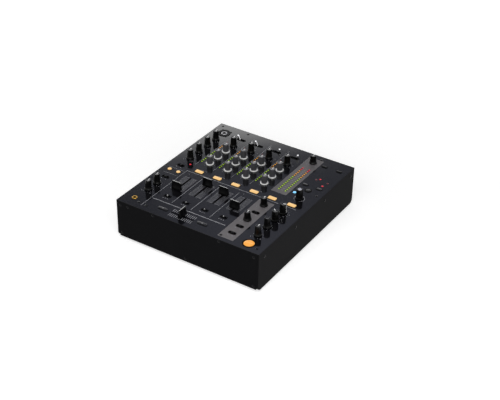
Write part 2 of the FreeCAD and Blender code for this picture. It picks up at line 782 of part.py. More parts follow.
def make_rear_jacks():
    """Two strips with eight sleeve jacks each and two round three-pin sockets behind the rear panel."""
    body = new_body("rear_jacks", 0, back_edge, jack_strip_z)
    inside = s.sheet_thick
    strips = new_sketch(body, "XZ_Plane", inside)
    for centre in strip_centres:
        rectangle(strips, centre, 0, strip_length, s.jack_strip)
    for across, rise in jack_spots:
        circle(strips, across, rise, s.jack_barrel + s.fit * 2)
    for centre in xlr_centres:
        circle(strips, centre, 0, s.xlr_flange)
    pad(body, strips, s.sheet_thick * 2)
    barrels = new_sketch(body, "XZ_Plane", inside * 3)
    for across, rise in jack_spots:
        circle(barrels, across, rise, s.jack_barrel)
    pad(body, barrels, s.jack_reach + inside * 3, reverse=True)
    cores = new_sketch(body, "XZ_Plane", -s.jack_reach)
    for across, rise in jack_spots:
        circle(cores, across, rise, s.jack_bore)
    pocket(body, cores, s.jack_reach, reverse=True)
    shells = new_sketch(body, "XZ_Plane", inside)
    for centre in xlr_centres:
        circle(shells, centre, 0, s.xlr_bore + s.xlr_wall * 2)
    pad(body, shells, s.sheet_thick * 2, reverse=True)
    tails = new_sketch(body, "XZ_Plane", inside * 3)
    for centre in xlr_centres:
        circle(tails, centre, 0, s.xlr_bore + s.xlr_wall * 2)
    pad(body, tails, s.xlr_depth)
    hollows = new_sketch(body, "XZ_Plane", -inside)
    for centre in xlr_centres:
        circle(hollows, centre, 0, s.xlr_bore)
    pocket(body, hollows, s.xlr_depth, reverse=True)
    pins = new_sketch(body, "XZ_Plane", s.xlr_depth - inside)
    for centre in xlr_centres:
        for across, rise in pin_spots:
            circle(pins, centre + s.xlr_spread * across, s.xlr_spread * rise, s.xlr_pin)
    pad(body, pins, s.xlr_reach, reverse=True)


def make_mains_inlet():
    """A three-blade appliance inlet with a flange outside, and the housing of the rocker beside it."""
    body = new_body("mains_inlet", inlet_x, back_edge, jack_strip_z)
    flange = new_sketch(body, "XZ_Plane")
    rectangle(flange, 0, 0, s.inlet_length, s.inlet_width)
    pad(body, flange, s.sheet_thick, reverse=True)
    box = new_sketch(body, "XZ_Plane")
    rectangle(box, 0, 0, s.inlet_opening + s.inlet_wall * 2, s.inlet_drop + s.inlet_wall * 2)
    pad(body, box, s.inlet_depth)
    hollow = new_sketch(body, "XZ_Plane", -s.sheet_thick)
    rectangle(hollow, 0, 0, s.inlet_opening, s.inlet_drop)
    pocket(body, hollow, s.inlet_depth, reverse=True)
    blades = new_sketch(body, "XZ_Plane", s.inlet_depth - s.sheet_thick)
    for across, rise in ((-s.blade_gap / 2, -s.blade_rise / 2), (s.blade_gap / 2, -s.blade_rise / 2),
                         (0, s.blade_rise / 2)):
        rectangle(blades, across, rise, s.blade_thick, s.blade_height)
    pad(body, blades, s.blade_reach, reverse=True)
    housing = new_sketch(body, "XZ_Plane", s.sheet_thick)
    rectangle(housing, rocker_x - inlet_x, 0, s.rocker_width + s.inlet_wall * 2,
              s.rocker_height + s.inlet_wall * 2)
    pad(body, housing, s.switch_depth)
    well = new_sketch(body, "XZ_Plane", s.sheet_thick)
    rectangle(well, rocker_x - inlet_x, 0, s.rocker_width + s.fit * 2, s.rocker_height + s.fit * 2)
    pocket(body, well, s.switch_depth - s.inlet_wall, reverse=True)


# Moving pieces

# Diameters of crown, grip and skirt, then heights of skirt, flare and the whole knob, for each kind
KNOB_KINDS = {
    "tall": (s.knob_top, s.knob_grip, s.knob_skirt, s.skirt_height, s.flare_height, s.knob_height),
    "short": (s.knob_top, s.knob_grip, s.knob_skirt, s.skirt_height, s.flare_height, s.short_height),
    "selector": (s.selector_top, s.selector_grip, s.knob_skirt, s.skirt_height, s.ring_step, s.knob_height),
    "ringed": (s.eq_top, s.eq_grip, s.eq_skirt, s.ring_height, s.ring_step, s.eq_height),
}


def make_knob(label, x, y, kind):
    """A turned cap with a flared skirt or a ring, a pointer groove and the shaft that it turns on."""
    body = new_body(label, left_edge + x, front_edge + y, under_panel - s.shaft_seat)
    bind(body, "Placement.Rotation.Angle", KNOB_REST.get(label, 0.0))
    crown, grip, skirt, collar, flare, height = KNOB_KINDS[kind]
    panel = s.shaft_seat + s.panel_thick
    foot, top = panel + s.knob_lift, panel + height
    profile = new_sketch(body, "XZ_Plane")
    polygon(profile, [(0, 0), (s.shaft_diameter / 2, 0), (s.shaft_diameter / 2, foot), (skirt / 2, foot),
                      (skirt / 2, foot + collar), (grip / 2, foot + collar + flare),
                      (crown / 2, top), (0, top)])
    turned = revolve(body, profile)
    fillet(body, turned, s.knob_round, lambda box: box.ZMin > top.value - 1e-3 and box.XLength > 1)
    groove = new_sketch(body, offset=top)
    reach = crown / 2 - s.knob_round
    rectangle(groove, 0, reach / 2 + s.pointer_width / 2, s.pointer_width, reach)
    pocket(body, groove, s.pointer_depth)


def make_fader(label, x, y, along_x):
    """A saddle-shaped cap with an index groove, on a flat stem that runs in the slot."""
    seat = s.fader_unit_height - s.sheet_thick - s.fit
    body = new_body(label, left_edge + x, front_edge + y, under_panel - seat)
    foot = seat + s.panel_thick + s.cap_lift
    top = foot + s.cap_height
    base, ridge = s.cap_base / 2, s.cap_ridge / 2
    side = new_sketch(body, "XZ_Plane" if along_x else "YZ_Plane")
    waist = foot + s.cap_foot
    floor_line = side.curve(Part.LineSegment(flat(-base, foot), flat(base, foot)))
    side.pin(floor_line, 1, -base, foot)
    side.pin(floor_line, 2, base, foot)
    ridge_line = side.curve(Part.LineSegment(flat(-ridge, top), flat(ridge, top)))
    side.pin(ridge_line, 1, -ridge, top)
    side.pin(ridge_line, 2, ridge, top)
    for end, outward in ((1, -1), (2, 1)):
        upright = side.curve(Part.LineSegment(flat(base * outward, foot), flat(base * outward, waist)))
        side.rule("Coincident", upright, 1, floor_line, end)
        side.pin(upright, 2, base * outward, waist)
        low, high = flat(base * outward, waist), flat(ridge * outward, top)
        half = (high - low) * 0.5
        away = FreeCAD.Vector(half.y, -half.x, 0) * outward / half.Length
        centre = low + half + away * math.sqrt(s.cap_hollow.value ** 2 - half.Length ** 2)
        ring = Part.Circle(centre, FreeCAD.Vector(0, 0, 1), s.cap_hollow.value)
        first, last = (low, high) if outward < 0 else (high, low)
        begin = math.atan2(first.y - centre.y, first.x - centre.x)
        sweep = 2 * math.asin(half.Length / s.cap_hollow.value)
        hollow = side.curve(Part.ArcOfCircle(ring, begin, begin + sweep))
        low_end = 1 if outward < 0 else 2
        side.rule("Coincident", hollow, low_end, upright, 2)
        side.rule("Coincident", hollow, 3 - low_end, ridge_line, end)
        side.rule("Radius", hollow, size=s.cap_hollow)
    pad(body, side, s.cap_length, symmetric=True)
    groove = new_sketch(body, offset=top)
    mark = (s.pointer_width, s.cap_length) if along_x else (s.cap_length, s.pointer_width)
    rectangle(groove, 0, 0, *mark)
    pocket(body, groove, s.pointer_depth)
    stem = new_sketch(body)
    section = (s.stem_length, s.stem_width) if along_x else (s.stem_width, s.stem_length)
    rectangle(stem, 0, 0, *section)
    pad(body, stem, foot)


def make_lever(label, x, tilt):
    """A bat lever on a round hub, tipped to one side of its slot."""
    body = new_body(label, left_edge + x, front_edge + lever_y, s.panel_height - s.lever_sink)
    body.Placement.Rotation.Axis = FreeCAD.Vector(0, 1, 0)
    bind(body, "Placement.Rotation.Angle", tilt)
    bat = new_sketch(body, "XZ_Plane")
    top = s.lever_sink + s.lever_reach
    polygon(bat, [(-s.lever_width / 2, 0), (s.lever_width / 2, 0), (s.lever_tip / 2, top),
                  (-s.lever_tip / 2, top)])
    handle = pad(body, bat, s.lever_thick, symmetric=True)
    fillet(body, handle, s.lever_thick / 2 - s.fit, lambda box: box.ZMin > top.value - 1e-3)
    hub = new_sketch(body, "XZ_Plane")
    circle(hub, 0, 0, s.lever_hub)
    pad(body, hub, s.lever_thick, symmetric=True)


def make_slides(label, spots):
    """Square slide levers, each in the middle of its track."""
    body = new_body(label, left_edge, front_edge, under_panel - s.slide_seat)
    levers = new_sketch(body)
    for x, y in spots:
        rectangle(levers, x, y, s.slide_length, s.slide_width)
    blocks = pad(body, levers, s.slide_seat + s.panel_thick + s.slide_rise)
    top = s.slide_seat + s.panel_thick + s.slide_rise
    fillet(body, blocks, s.fit * 2, lambda box: box.ZMin > top.value - 1e-3)


def make_buttons(label, draw, square=False):
    """Push buttons that stand a little proud of the panel; draw puts their outlines on a sketch."""
    body = new_body(label, left_edge, front_edge, s.panel_height - s.button_sink)
    outlines = new_sketch(body)
    draw(outlines)
    height = s.button_sink + s.button_rise
    caps = pad(body, outlines, height)
    if square:
        corner = height.value - 1e-3
        caps = fillet(body, caps, s.cue_corner, lambda box: box.ZLength > corner and box.XLength < 1e-3)
    fillet(body, caps, s.button_edge, lambda box: box.ZMin > height.value - 1e-3)


def draw_cue_buttons(sketch):
    for x, y in cue_spots:
        rectangle(sketch, x, y, s.cue_length, s.cue_width)
    for x, y in round_cue_spots:
        circle(sketch, x, y, s.round_cue)


def draw_on_button(sketch):
    circle(sketch, effects_x, s.on_row, s.on_diameter)


def draw_function_buttons(sketch):
    circle(sketch, effects_x, s.tap_row, s.tap_diameter)
    for x, y in start_spots:
        pill(sketch, x, y, s.start_length, s.start_width)
    for x, y in beat_spots:
        pill(sketch, x, y, s.beat_length, s.beat_width)
    for x, y in key_spots:
        pill(sketch, x, y, s.key_length, s.key_width)


def make_power_switch():
    """A rocker with a dished face, cut from a drum so that its ends turn inside its opening."""
    body = new_body("power_switch", rocker_x, back_edge, jack_strip_z)
    body.Placement.Rotation.Axis = FreeCAD.Vector(1, 0, 0)
    bind(body, "Placement.Rotation.Angle", s.rocker_tilt)
    drum = new_sketch(body, "YZ_Plane")
    circle(drum, 0, 0, s.rocker_height)
    pad(body, drum, s.rocker_width, symmetric=True)
    clear = s.rocker_height
    face = new_sketch(body, "YZ_Plane", s.rocker_width)
    polygon(face, [(s.rocker_dish, 0), (s.rocker_lip, -s.rocker_height / 2), (s.rocker_lip, -clear),
                   (clear, -clear), (clear, clear), (s.rocker_lip, clear),
                   (s.rocker_lip, s.rocker_height / 2)])
    pocket(body, face, s.rocker_width * 2)
    back = new_sketch(body, "YZ_Plane", s.rocker_width)
    rectangle(back, -s.rocker_back - clear / 2, 0, clear, clear * 2)
    pocket(body, back, s.rocker_width * 2)


make_bottom_chassis()
make_side_panels()
make_front_panel()
make_rear_panel()
make_top_panel()
make_feet()
make_control_board()
make_control_bodies()
make_fader_units()
make_indicator_lights()
make_power_supply()
make_mic_socket()
make_phones_socket()
make_rear_jacks()
make_mains_inlet()
for knob in knobs:
    make_knob(*knob)
for index, (column, share) in enumerate(zip(channel_x, FADER_REST), start=1):
    make_fader(f"channel_fader_{index}", column, s.fader_row + s.fader_travel * (share - 0.5), False)
make_fader("crossfader", s.crossfader_middle, s.crossfader_row, True)
for index, column in enumerate(channel_x, start=1):
    make_lever(f"input_lever_{index}", column, -s.lever_tilt if index < 3 else s.lever_tilt)
make_slides("assign_switches", assign_spots)
make_slides("mode_switches", mode_spots)
make_buttons("cue_buttons", draw_cue_buttons, square=True)
make_buttons("effect_on_button", draw_on_button)
make_buttons("function_buttons", draw_function_buttons)
make_power_switch()
doc.recompute()

for item in doc.Objects:
    if "Invalid" in item.State or "Error" in item.State:
        raise RuntimeError(f"{item.Name} failed: {item.State}")
os.makedirs("parts", exist_ok=True)
for body in parts:
    if body.Shape.isNull() or not body.Shape.isValid() or not body.Shape.Solids:
        raise RuntimeError(f"{body.Label} has no sound solid")
    body.Shape.exportStep(f"parts/{body.Label}.step")
print(len(parts), "pieces written")
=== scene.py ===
import json
import math

import bmesh
import bpy
from mathutils import Euler, Matrix, Vector

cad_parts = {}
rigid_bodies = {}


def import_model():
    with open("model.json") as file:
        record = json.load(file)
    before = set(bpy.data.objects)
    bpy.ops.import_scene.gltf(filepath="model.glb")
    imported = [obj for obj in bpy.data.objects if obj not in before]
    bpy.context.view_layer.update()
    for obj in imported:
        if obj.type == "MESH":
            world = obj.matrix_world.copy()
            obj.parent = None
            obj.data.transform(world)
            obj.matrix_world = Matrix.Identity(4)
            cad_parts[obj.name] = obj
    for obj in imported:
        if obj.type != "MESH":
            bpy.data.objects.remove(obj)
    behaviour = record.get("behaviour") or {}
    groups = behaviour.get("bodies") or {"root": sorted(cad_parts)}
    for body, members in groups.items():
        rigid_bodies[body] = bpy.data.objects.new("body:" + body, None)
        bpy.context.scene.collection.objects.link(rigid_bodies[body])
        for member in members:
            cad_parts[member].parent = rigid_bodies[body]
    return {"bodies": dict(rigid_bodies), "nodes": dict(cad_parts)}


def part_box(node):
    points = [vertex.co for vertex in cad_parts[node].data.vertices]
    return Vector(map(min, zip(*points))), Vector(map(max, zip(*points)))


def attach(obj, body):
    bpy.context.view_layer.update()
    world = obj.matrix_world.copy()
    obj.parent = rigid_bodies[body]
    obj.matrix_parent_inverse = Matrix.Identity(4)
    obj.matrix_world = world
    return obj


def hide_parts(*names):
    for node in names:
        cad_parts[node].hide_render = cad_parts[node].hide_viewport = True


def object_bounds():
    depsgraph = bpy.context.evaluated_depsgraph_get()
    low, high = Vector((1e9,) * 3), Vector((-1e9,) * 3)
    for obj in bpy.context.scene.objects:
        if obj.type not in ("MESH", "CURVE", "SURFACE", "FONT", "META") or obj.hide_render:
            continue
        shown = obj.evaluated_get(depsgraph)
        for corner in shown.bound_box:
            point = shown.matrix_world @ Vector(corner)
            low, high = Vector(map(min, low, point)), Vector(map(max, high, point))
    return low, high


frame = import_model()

bl_info = {
    "name": "Club mixer",
    "version": (1, 0, 0),
    "blender": (4, 5, 0),
    "location": "3D View > Sidebar > Mixer",
    "description": "Dresses a four-channel club mixer with its finishes, print, caps, lamps and fasteners",
    "category": "Add Mesh",
}

MM = 0.001
CAD_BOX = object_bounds()
PANEL_LOW, PANEL_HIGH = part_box("top_panel")
REAR_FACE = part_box("rear_panel")[1].y / MM

# Columns and rows on the panel, in millimetres from its front left corner
LEFT = 28.5
CHANNELS = [73.4, 116.2, 159.0, 201.8]
MASTER = 242.8
EFFECTS = 286.0
CUES = [(x, 170.0) for x in (*CHANNELS, MASTER, EFFECTS)]
ROUND_CUES = [(18.0, 146.6), (39.0, 146.6)]
STARTS = [(92.0, 24.0), (181.0, 24.0)]
BEATS = [(270.75, 247.8), (301.25, 247.8)]
KEYS = [(269.4, 326.0), (302.6, 326.0)]
TAP = (EFFECTS, 232.3)
ON_BUTTON = (EFFECTS, 20.5)
ASSIGNS = [(x, 64.0) for x in CHANNELS]
MODES = [(LEFT, 170.0), (LEFT, 118.5), (MASTER, 110.8), (MASTER, 56.5), (MASTER, 31.0)]
LEVER_ROW = 322.0
MICROPHONE = (LEFT, 326.0)
PHONES = (24.5, 25.0)
LAMP_COUNT, LAMP_GREENS = 15, 9
LAMP_COLUMNS = [x - 19.2 for x in CHANNELS] + [MASTER - 7.5, MASTER + 7.5]
LAMP_ROWS = [206.4 + 92.0 * step / (LAMP_COUNT - 1) for step in range(LAMP_COUNT)]
# Single lamps with their colour and radius
SINGLE_LAMPS = (
    (LEFT + 13.5, 183.5, "red", 2.0), (EFFECTS - 18.8, 212.6, "blue", 3.5),
    (EFFECTS - 6.5, 275.2, "dim_red", 2.0), (EFFECTS - 0.5, 280.8, "red", 2.0),
    (EFFECTS + 15.0, 261.4, "red", 2.0), (EFFECTS + 18.9, 275.4, "dim_red", 2.0),
)
# Grey fields, as two opposite corners, and printed rules, as two ends and a width
FIELDS = (((225.0, 193.5), (259.0, 343.0)), ((224.0, 10.0), (258.0, 154.0)))
RULES = (
    (50, 10, 50, 161, 0.9), (50, 161, 222, 161, 1.1), (234, 161, 262, 161, 1.1), (274, 161, 300, 161, 1.1),
    (93.3, 50, 93.3, 151, 1.0), (137, 50, 137, 151, 1.0), (180, 50, 180, 151, 1.0),
    (54, 43.8, 219, 43.8, 1.7), (12, 155, 48, 155, 0.6), (12, 133, 48, 133, 0.6),
)
EQUALISER_RULES = (50.5, 93.5, 136.5, 179.5)
LADDER_ENDS = (92, 141.5)
PANEL_SCREWS = [(10, 349), (72.5, 350), (59, 15), (40, 17), (229, 14.5), (307, 13.4), (309.5, 224),
                (251, 346)]

# Columns of the front screws, with their drop below the panel
FRONT_SCREWS = [(9, 9), (26.7, 8), (85.5, 4.6), (234.4, 4.3), (309.3, 9.7), (10.2, 71.4), (309.7, 73.6),
                (158.6, 73.3)]
# Places on the sides, the rear and the underside, in millimetres from the frame's origin
SIDE_SCREWS, SIDE_DROP = (-165.0, -55.0, 55.0, 160.0), 14.0
REAR_SCREWS, REAR_DROP = (-146.0, -69.0, 12.0, 112.0, 146.0), 9.0
FOOT_SCREWS = [(x, y) for x in (-126.0, 126.0) for y in (-150.0, 140.0)]
FOOT_RECESS = 3.6
JACK_STRIPS, JACK_COLUMNS, JACK_PITCH, JACK_RISE = (-109.0, -29.5), 4, 19.0, 9.0
ROUND_SOCKETS, SOCKET_FLOOR = (29.5, 63.5), 16.5

BANDS = ("low", "mid", "high")
NUMBERS = (1, 2, 3, 4)
KNOBS = [name for name in frame["bodies"] if name.endswith("_knob")]
RINGED_KNOBS = [f"{band}_{number}_knob" for number in NUMBERS for band in BANDS]
# The knob with a plated top, and the one black knob that has no pointer
BRIGHT_KNOB = "effect_amount_knob"
BARE_KNOB = "effect_time_knob"
# Knobs that rest turned, in degrees to the left of straight back
TURNED_KNOBS = {"effect_select_knob": -82.0, "effect_channel_knob": 52.0}
# How many marks a dial has, and the degrees that they span
SELECTOR_DIALS = {"effect_select_knob": (10, 300.0), "effect_channel_knob": (8, 240.0)}
PLAIN_DIAL = (11, 300.0)
SELECTORS = (BRIGHT_KNOB, *SELECTOR_DIALS)
FADERS = [f"channel_fader_{number}" for number in NUMBERS]
# The levers, with the degrees that each leans to the right at rest
LEVERS = {"input_lever_1": -28.0, "input_lever_2": -28.0, "input_lever_3": 28.0, "input_lever_4": 28.0}
ROCKER_TILT = 7.0

# Sizes of the modelled pieces, in millimetres
# Radius of a knob's grip at its foot, radius of its crown, and height of its neck
KNOB_FORMS = {"ringed": (6.1, 5.6, 3.2), "selector": (6.9, 6.3, 3.3), "plain": (6.4, 5.7, 6.4)}
KNOB_STEPS, FLUTES = 72, 18
KNOB_GAP, SKIRT_TOP, SHAFT_HOLE = 0.6, 2.8, 3.2
CAP_LENGTH, CAP_TOP = 20.0, 17.5
STEM, STEM_SINK = (3.8, 1.5, 6.0), 5.4
LEVER_SINK = 6.0
SLIDE_SINK, SLIDE_RISE = 4.0, 2.4
BUTTON_SINK, BUTTON_HEIGHT = 4.0, 5.6
RIM_RISE, RIM_EDGE = 0.5, 0.2

# How strongly each lit colour glows
LIT_COLOURS = {"amber": 0.85, "deep_amber": 0.9, "green": 1.3, "orange": 1.2, "red": 1.2, "blue": 1.2}
# The finish of each node that no finer piece stands for
NODE_FINISHES = {
    "panel": ("top_panel",),
    "case": ("front_panel", "side_panels", "rear_panel", "bottom_chassis"),
    "rubber": ("feet",),
    "board": ("control_board", "power_supply"),
    "recess": ("control_bodies", "fader_units"),
    "switch": ("mic_socket", "mains_inlet", "power_switch"),
    "gold": ("phones_socket",),
    "nickel": ("rear_jacks",),
}


def linear(code):
    """An sRGB hex colour as linear red, green and blue."""
    parts = [int(code[start:start + 2], 16) / 255 for start in (1, 3, 5)]
    return tuple(part / 12.92 if part <= 0.04045 else ((part + 0.055) / 1.055) ** 2.4 for part in parts)


def colour_property(name, description, code):
    return bpy.props.FloatVectorProperty(name=name, description=description, subtype="COLOR", size=3, min=0.0,
                                         max=1.0, default=linear(code))


def length_property(name, description, millimetres):
    return bpy.props.FloatProperty(name=name, description=description, unit="LENGTH", min=0.0,
                                   default=millimetres * MM)


class MixerColours(bpy.types.PropertyGroup):
    """Colours of the finishes."""

    panel: colour_property("Panel", "Enamel of the control panel", "#0A0A0E")
    field: colour_property("Field", "Lighter paint behind the master controls", "#6B686A")
    case: colour_property("Case", "Coating of the case below the panel", "#08080A")
    knob: colour_property("Knob", "Moulding of the plain knobs", "#040404")
    ringed_knob: colour_property("Equaliser knob", "Moulding of the equaliser knobs", "#454549")
    ring: colour_property("Ring", "Rings, pointers and index lines", "#F4F4F2")
    ink: colour_property("Ink", "Bright print on the panel", "#8E8E93")
    faint_ink: colour_property("Faint ink", "Dim print beside the fader slots", "#545459")
    amber: colour_property("Amber", "Lit cue buttons", "#F6C883")
    deep_amber: colour_property("Deep amber", "Lit effect button", "#F3A542")
    green: colour_property("Green", "Lower meter lamps", "#8CB000")
    orange: colour_property("Orange", "Upper meter lamps", "#D08A10")
    red: colour_property("Red", "Peak lamps", "#CC0A28")
    blue: colour_property("Blue", "Lamp of the effects section", "#7CC8F5")


class MixerSizes(bpy.types.PropertyGroup):
    """Sizes of the small visual pieces."""

    pointer_width: length_property("Pointer width", "Width of the white line on a knob", 1.6)
    flute_depth: length_property("Flute depth", "Depth of the flutes in a knob's grip", 0.3)
    ink_height: length_property("Ink height", "How far the print stands off the panel", 0.05)
    screw_head: length_property("Screw head", "Diameter of the case screws", 5.8)
    edging: length_property("Edging", "How thick the coating on the panel's cut edges is", 0.12)


# Places in the frame

def spot(x, y, rise=0.0):
    """A point on the panel from its front left corner, in millimetres, as a place in the frame."""
    return Vector((PANEL_LOW.x + x * MM, PANEL_LOW.y + y * MM, PANEL_HIGH.z + rise * MM))


def at(place, turn=0.0):
    return Matrix.Translation(place) @ Matrix.Rotation(turn, 4, "Z")


def on_panel(spots, rise=0.0):
    return [at(spot(x, y, rise)) for x, y in spots]


def facing(x, y, z, axis, angle):
    """A place given in millimetres from the frame's origin, whose upright is tipped about one axis."""
    return Matrix.Translation(Vector((x, y, z)) * MM) @ Matrix.Rotation(math.radians(angle), 4, axis)


def panel_spot_of(node):
    """The middle of a node's box as a column and a row on the panel."""
    low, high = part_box(node)
    middle = (low + high) / 2 - PANEL_LOW
    return middle.x / MM, middle.y / MM


def dial_angle(step, count, sweep):
    """The direction of one mark of a dial, whose marks spread evenly to both sides of straight back."""
    return math.radians(90 + sweep / 2 - sweep * step / (count - 1))


# Shapes, made in millimetres round their own origin

def turned(profile, steps=48, sweep=math.tau):
    """A profile of radius and height turned about the upright axis."""
    shape = bmesh.new()
    verts = [shape.verts.new((radius, 0.0, height)) for radius, height in profile]
    edges = [shape.edges.new(pair) for pair in zip(verts, verts[1:])]
    bmesh.ops.spin(shape, geom=verts + edges, cent=(0, 0, 0), axis=(0, 0, 1), angle=sweep, steps=steps,
                   use_merge=sweep == math.tau)
    bmesh.ops.remove_doubles(shape, verts=shape.verts, dist=1e-4)
    bmesh.ops.recalc_face_normals(shape, faces=shape.faces)
    return shape


def moved(shape, x, y, z):
    bmesh.ops.translate(shape, verts=shape.verts, vec=(x, y, z))
    return shape


def rounded(shape, parts, size, segments=3, affect="EDGES"):
    bmesh.ops.bevel(shape, geom=parts, offset=size, affect=affect, segments=segments, profile=0.5,
                    material=-1)
    return shape


def extruded(shape, x, y, z):
    """Thicken flat faces by one step."""
    grown = bmesh.ops.extrude_face_region(shape, geom=list(shape.faces))
    far = [item for item in grown["geom"] if isinstance(item, bmesh.types.BMVert)]
    bmesh.ops.translate(shape, verts=far, vec=(x, y, z))
    bmesh.ops.recalc_face_normals(shape, faces=shape.faces)
    return shape


def raised(shape, height, edge=0.0):
    """Thicken flat faces upwards, with their upper outline rounded."""
    extruded(shape, 0, 0, height)
    if edge:
        rim = [item for item in shape.edges if min(vert.co.z for vert in item.verts) > height - 1e-5
               and any(abs(face.normal.z) < 0.5 for face in item.link_faces)]
        rounded(shape, rim, edge)
    return shape


def block(length, width, height, edge=0.0):
    """A block that stands on its origin, with all its edges but the lowest rounded."""
    shape = bmesh.new()
    bmesh.ops.create_cube(shape, size=1.0)
    bmesh.ops.scale(moved(shape, 0, 0, 0.5), verts=shape.verts, vec=(length, width, height))
    if edge:
        upper = [item for item in shape.edges if max(vert.co.z for vert in item.verts) > height / 2]
        rounded(shape, upper, edge)
    return shape


def draw_out(ring, reach):
    """Pull the two halves of a ring of points apart along the first axis."""
    for vert in ring:
        if abs(vert.co.x) > 1e-6:
            vert.co.x += math.copysign(reach, vert.co.x)


def flat_pill(length, width, points=32):
    """One flat face with half-round ends along the first axis."""
    shape = bmesh.new()
    bmesh.ops.create_circle(shape, cap_ends=True, radius=width / 2, segments=points)
    draw_out(shape.verts, (length - width) / 2)
    return shape


def flat_plate(length, width, corner):
    """One flat face with round corners."""
    shape = bmesh.new()
    bmesh.ops.create_grid(shape, x_segments=1, y_segments=1, size=0.5)
    bmesh.ops.scale(shape, verts=shape.verts, vec=(length, width, 1))
    return rounded(shape, shape.verts[:], corner, 5, "VERTICES")


def frame_round(flat, width, height=RIM_RISE, edge=RIM_EDGE):
    """A raised frame of one width just inside the outline of a flat face, which it uses up."""
    inner = flat.faces[:]
    bmesh.ops.inset_region(flat, faces=inner, thickness=width, use_boundary=True, use_even_offset=True)
    bmesh.ops.delete(flat, geom=inner, context="FACES_ONLY")
    return raised(flat, height, edge)


def figures(text, size, height):
    """Raised figures, centred on their origin."""
    curve = bpy.data.curves.new("figures", "FONT")
    curve.body = text
    curve.size = size
    curve.resolution_u = 3
    curve.align_x = curve.align_y = "CENTER"
    item = bpy.data.objects.new("figures", curve)
    mesh = bpy.data.meshes.new_from_object(item)
    shape = bmesh.new()
    shape.from_mesh(mesh)
    bpy.data.objects.remove(item)
    bpy.data.curves.remove(curve)
    bpy.data.meshes.remove(mesh)
    return raised(shape, height)


def mesh_of(shape, name):
    """A shape as a mesh, which uses it up."""
    mesh = bpy.data.meshes.new(name)
    shape.to_mesh(mesh)
    shape.free()
    return mesh


def linked(name, data):
    """A new object in the scene."""
    item = bpy.data.objects.new(name, data)
    bpy.context.scene.collection.objects.link(item)
    return item


class Piece:
    """One mesh under way, made of shapes with their own materials."""

    def __init__(self):
        self.mesh = bmesh.new()
        self.materials = []

    def add(self, shape, finish, *places):
        """Join a shape in millimetres at each place in the frame, and free it."""
        if finish not in self.materials:
            self.materials.append(finish)
        index = self.materials.index(finish)
        bmesh.ops.scale(shape, verts=shape.verts, vec=(MM, MM, MM))
        for face in shape.faces:
            face.material_index = index
        copy = mesh_of(shape, "shape")
        for place in places:
            start = len(self.mesh.verts)
            self.mesh.from_mesh(copy)
            self.mesh.verts.ensure_lookup_table()
            bmesh.ops.transform(self.mesh, matrix=place, verts=self.mesh.verts[start:])
        bpy.data.meshes.remove(copy)

    def finish(self, name, body, slot, *nodes):
        """Make the object, let it ride on its body, and hide the nodes that it stands for."""
        mesh = mesh_of(self.mesh, name)
        for finish in self.materials:
            mesh.materials.append(MATERIALS[finish])
        mesh.shade_smooth()
        mesh.set_sharp_from_angle(angle=math.radians(35))
        item = linked(name, mesh)
        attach(item, body)
        if nodes:
            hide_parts(*nodes)


# Materials

MATERIALS = {}
WHITE = (1.0, 1.0, 1.0, 1.0)
SPECULAR = "Specular IOR Level"
# The sockets of a mix node that take and give colours
MIX_A, MIX_B, MIX_RESULT = 6, 7, 2


def feed(tree, node, inputs):
    """Link a node's inputs to what other nodes give, and set the rest."""
    for socket, value in inputs.items():
        if isinstance(value, bpy.types.NodeSocket):
            tree.links.new(value, node.inputs[socket])
        else:
            node.inputs[socket].default_value = value


def add_node(tree, kind, inputs, **settings):
    """Add a shader node, give it its settings and inputs, and hand back its outputs."""
    made = tree.nodes.new("ShaderNode" + kind)
    for name, value in settings.items():
        setattr(made, name, value)
    feed(tree, made, inputs)
    return made.outputs


def new_material(name):
    """A material with one principled shader, as its node tree, its shader and its object coordinates."""
    material = bpy.data.materials.new(name)
    material.use_nodes = True
    tree = material.node_tree
    return material, tree, tree.nodes["Principled BSDF"], add_node(tree, "TexCoord", {})["Object"]


def surface(name, colour, change, rough, patch, grain=None, bump=0.0, dulled_by="patch",
            tone="Base Color", **inputs):
    """A material whose tone drifts in patches by a share of its colour, and whose grain stands up as bumps.

    Patch and grain are given as a size in millimetres and a detail. The roughness follows one of them.
    """
    material, tree, shader, place = new_material(name)
    noise = {}
    for use, pattern in (("patch", patch), ("grain", grain)):
        if pattern:
            size, detail = pattern
            spots = {"Vector": place, "Scale": 1 / (size * MM), "Detail": detail}
            noise[use] = add_node(tree, "TexNoise", spots)["Fac"]
    dark = (*[part * (1 - change) for part in colour], 1.0)
    light = (*[min(1.0, part * (1 + change)) for part in colour], 1.0)
    tones = {"Factor": noise["patch"], MIX_A: dark, MIX_B: light}
    shade = add_node(tree, "Mix", tones, data_type="RGBA")[MIX_RESULT]
    least, most = rough
    between = {"Value": noise[dulled_by], "To Min": least, "To Max": most}
    dulling = add_node(tree, "MapRange", between)["Result"]
    feed(tree, shader, {tone: shade, "Roughness": dulling, **inputs})
    if grain:
        relief = {"Height": noise["grain"], "Distance": bump * MM, "Strength": 1.0}
        feed(tree, shader, {"Normal": add_node(tree, "Bump", relief)["Normal"]})
    return material


def powder_coat(name, colour):
    """Powder coat on sheet steel: a pebbled black skin that scatters nearly all its gloss."""
    return surface(name, colour, 0.25, (0.5, 0.65), patch=(45, 2.0), grain=(0.9, 2.0), bump=0.03,
                   dulled_by="grain", **{SPECULAR: 0.04})


def moulded_plastic(name, colour, rough, grain=0.5, specular=0.35):
    """Moulded plastic or rubber: a spark-eroded grain, drawn at least 0.5 mm coarse so that it shows."""
    return surface(name, colour, 0.15, (rough - 0.06, rough + 0.06), patch=(6, 2.0), grain=(grain, 3.0),
                   bump=0.02, **{SPECULAR: specular})


def plated_metal(name, colour, rough):
    """Plated metal: a bright mirror with a faint polishing haze."""
    return surface(name, colour, 0.05, (rough - 0.05, rough + 0.08), patch=(1.5, 3.0), Metallic=1.0)


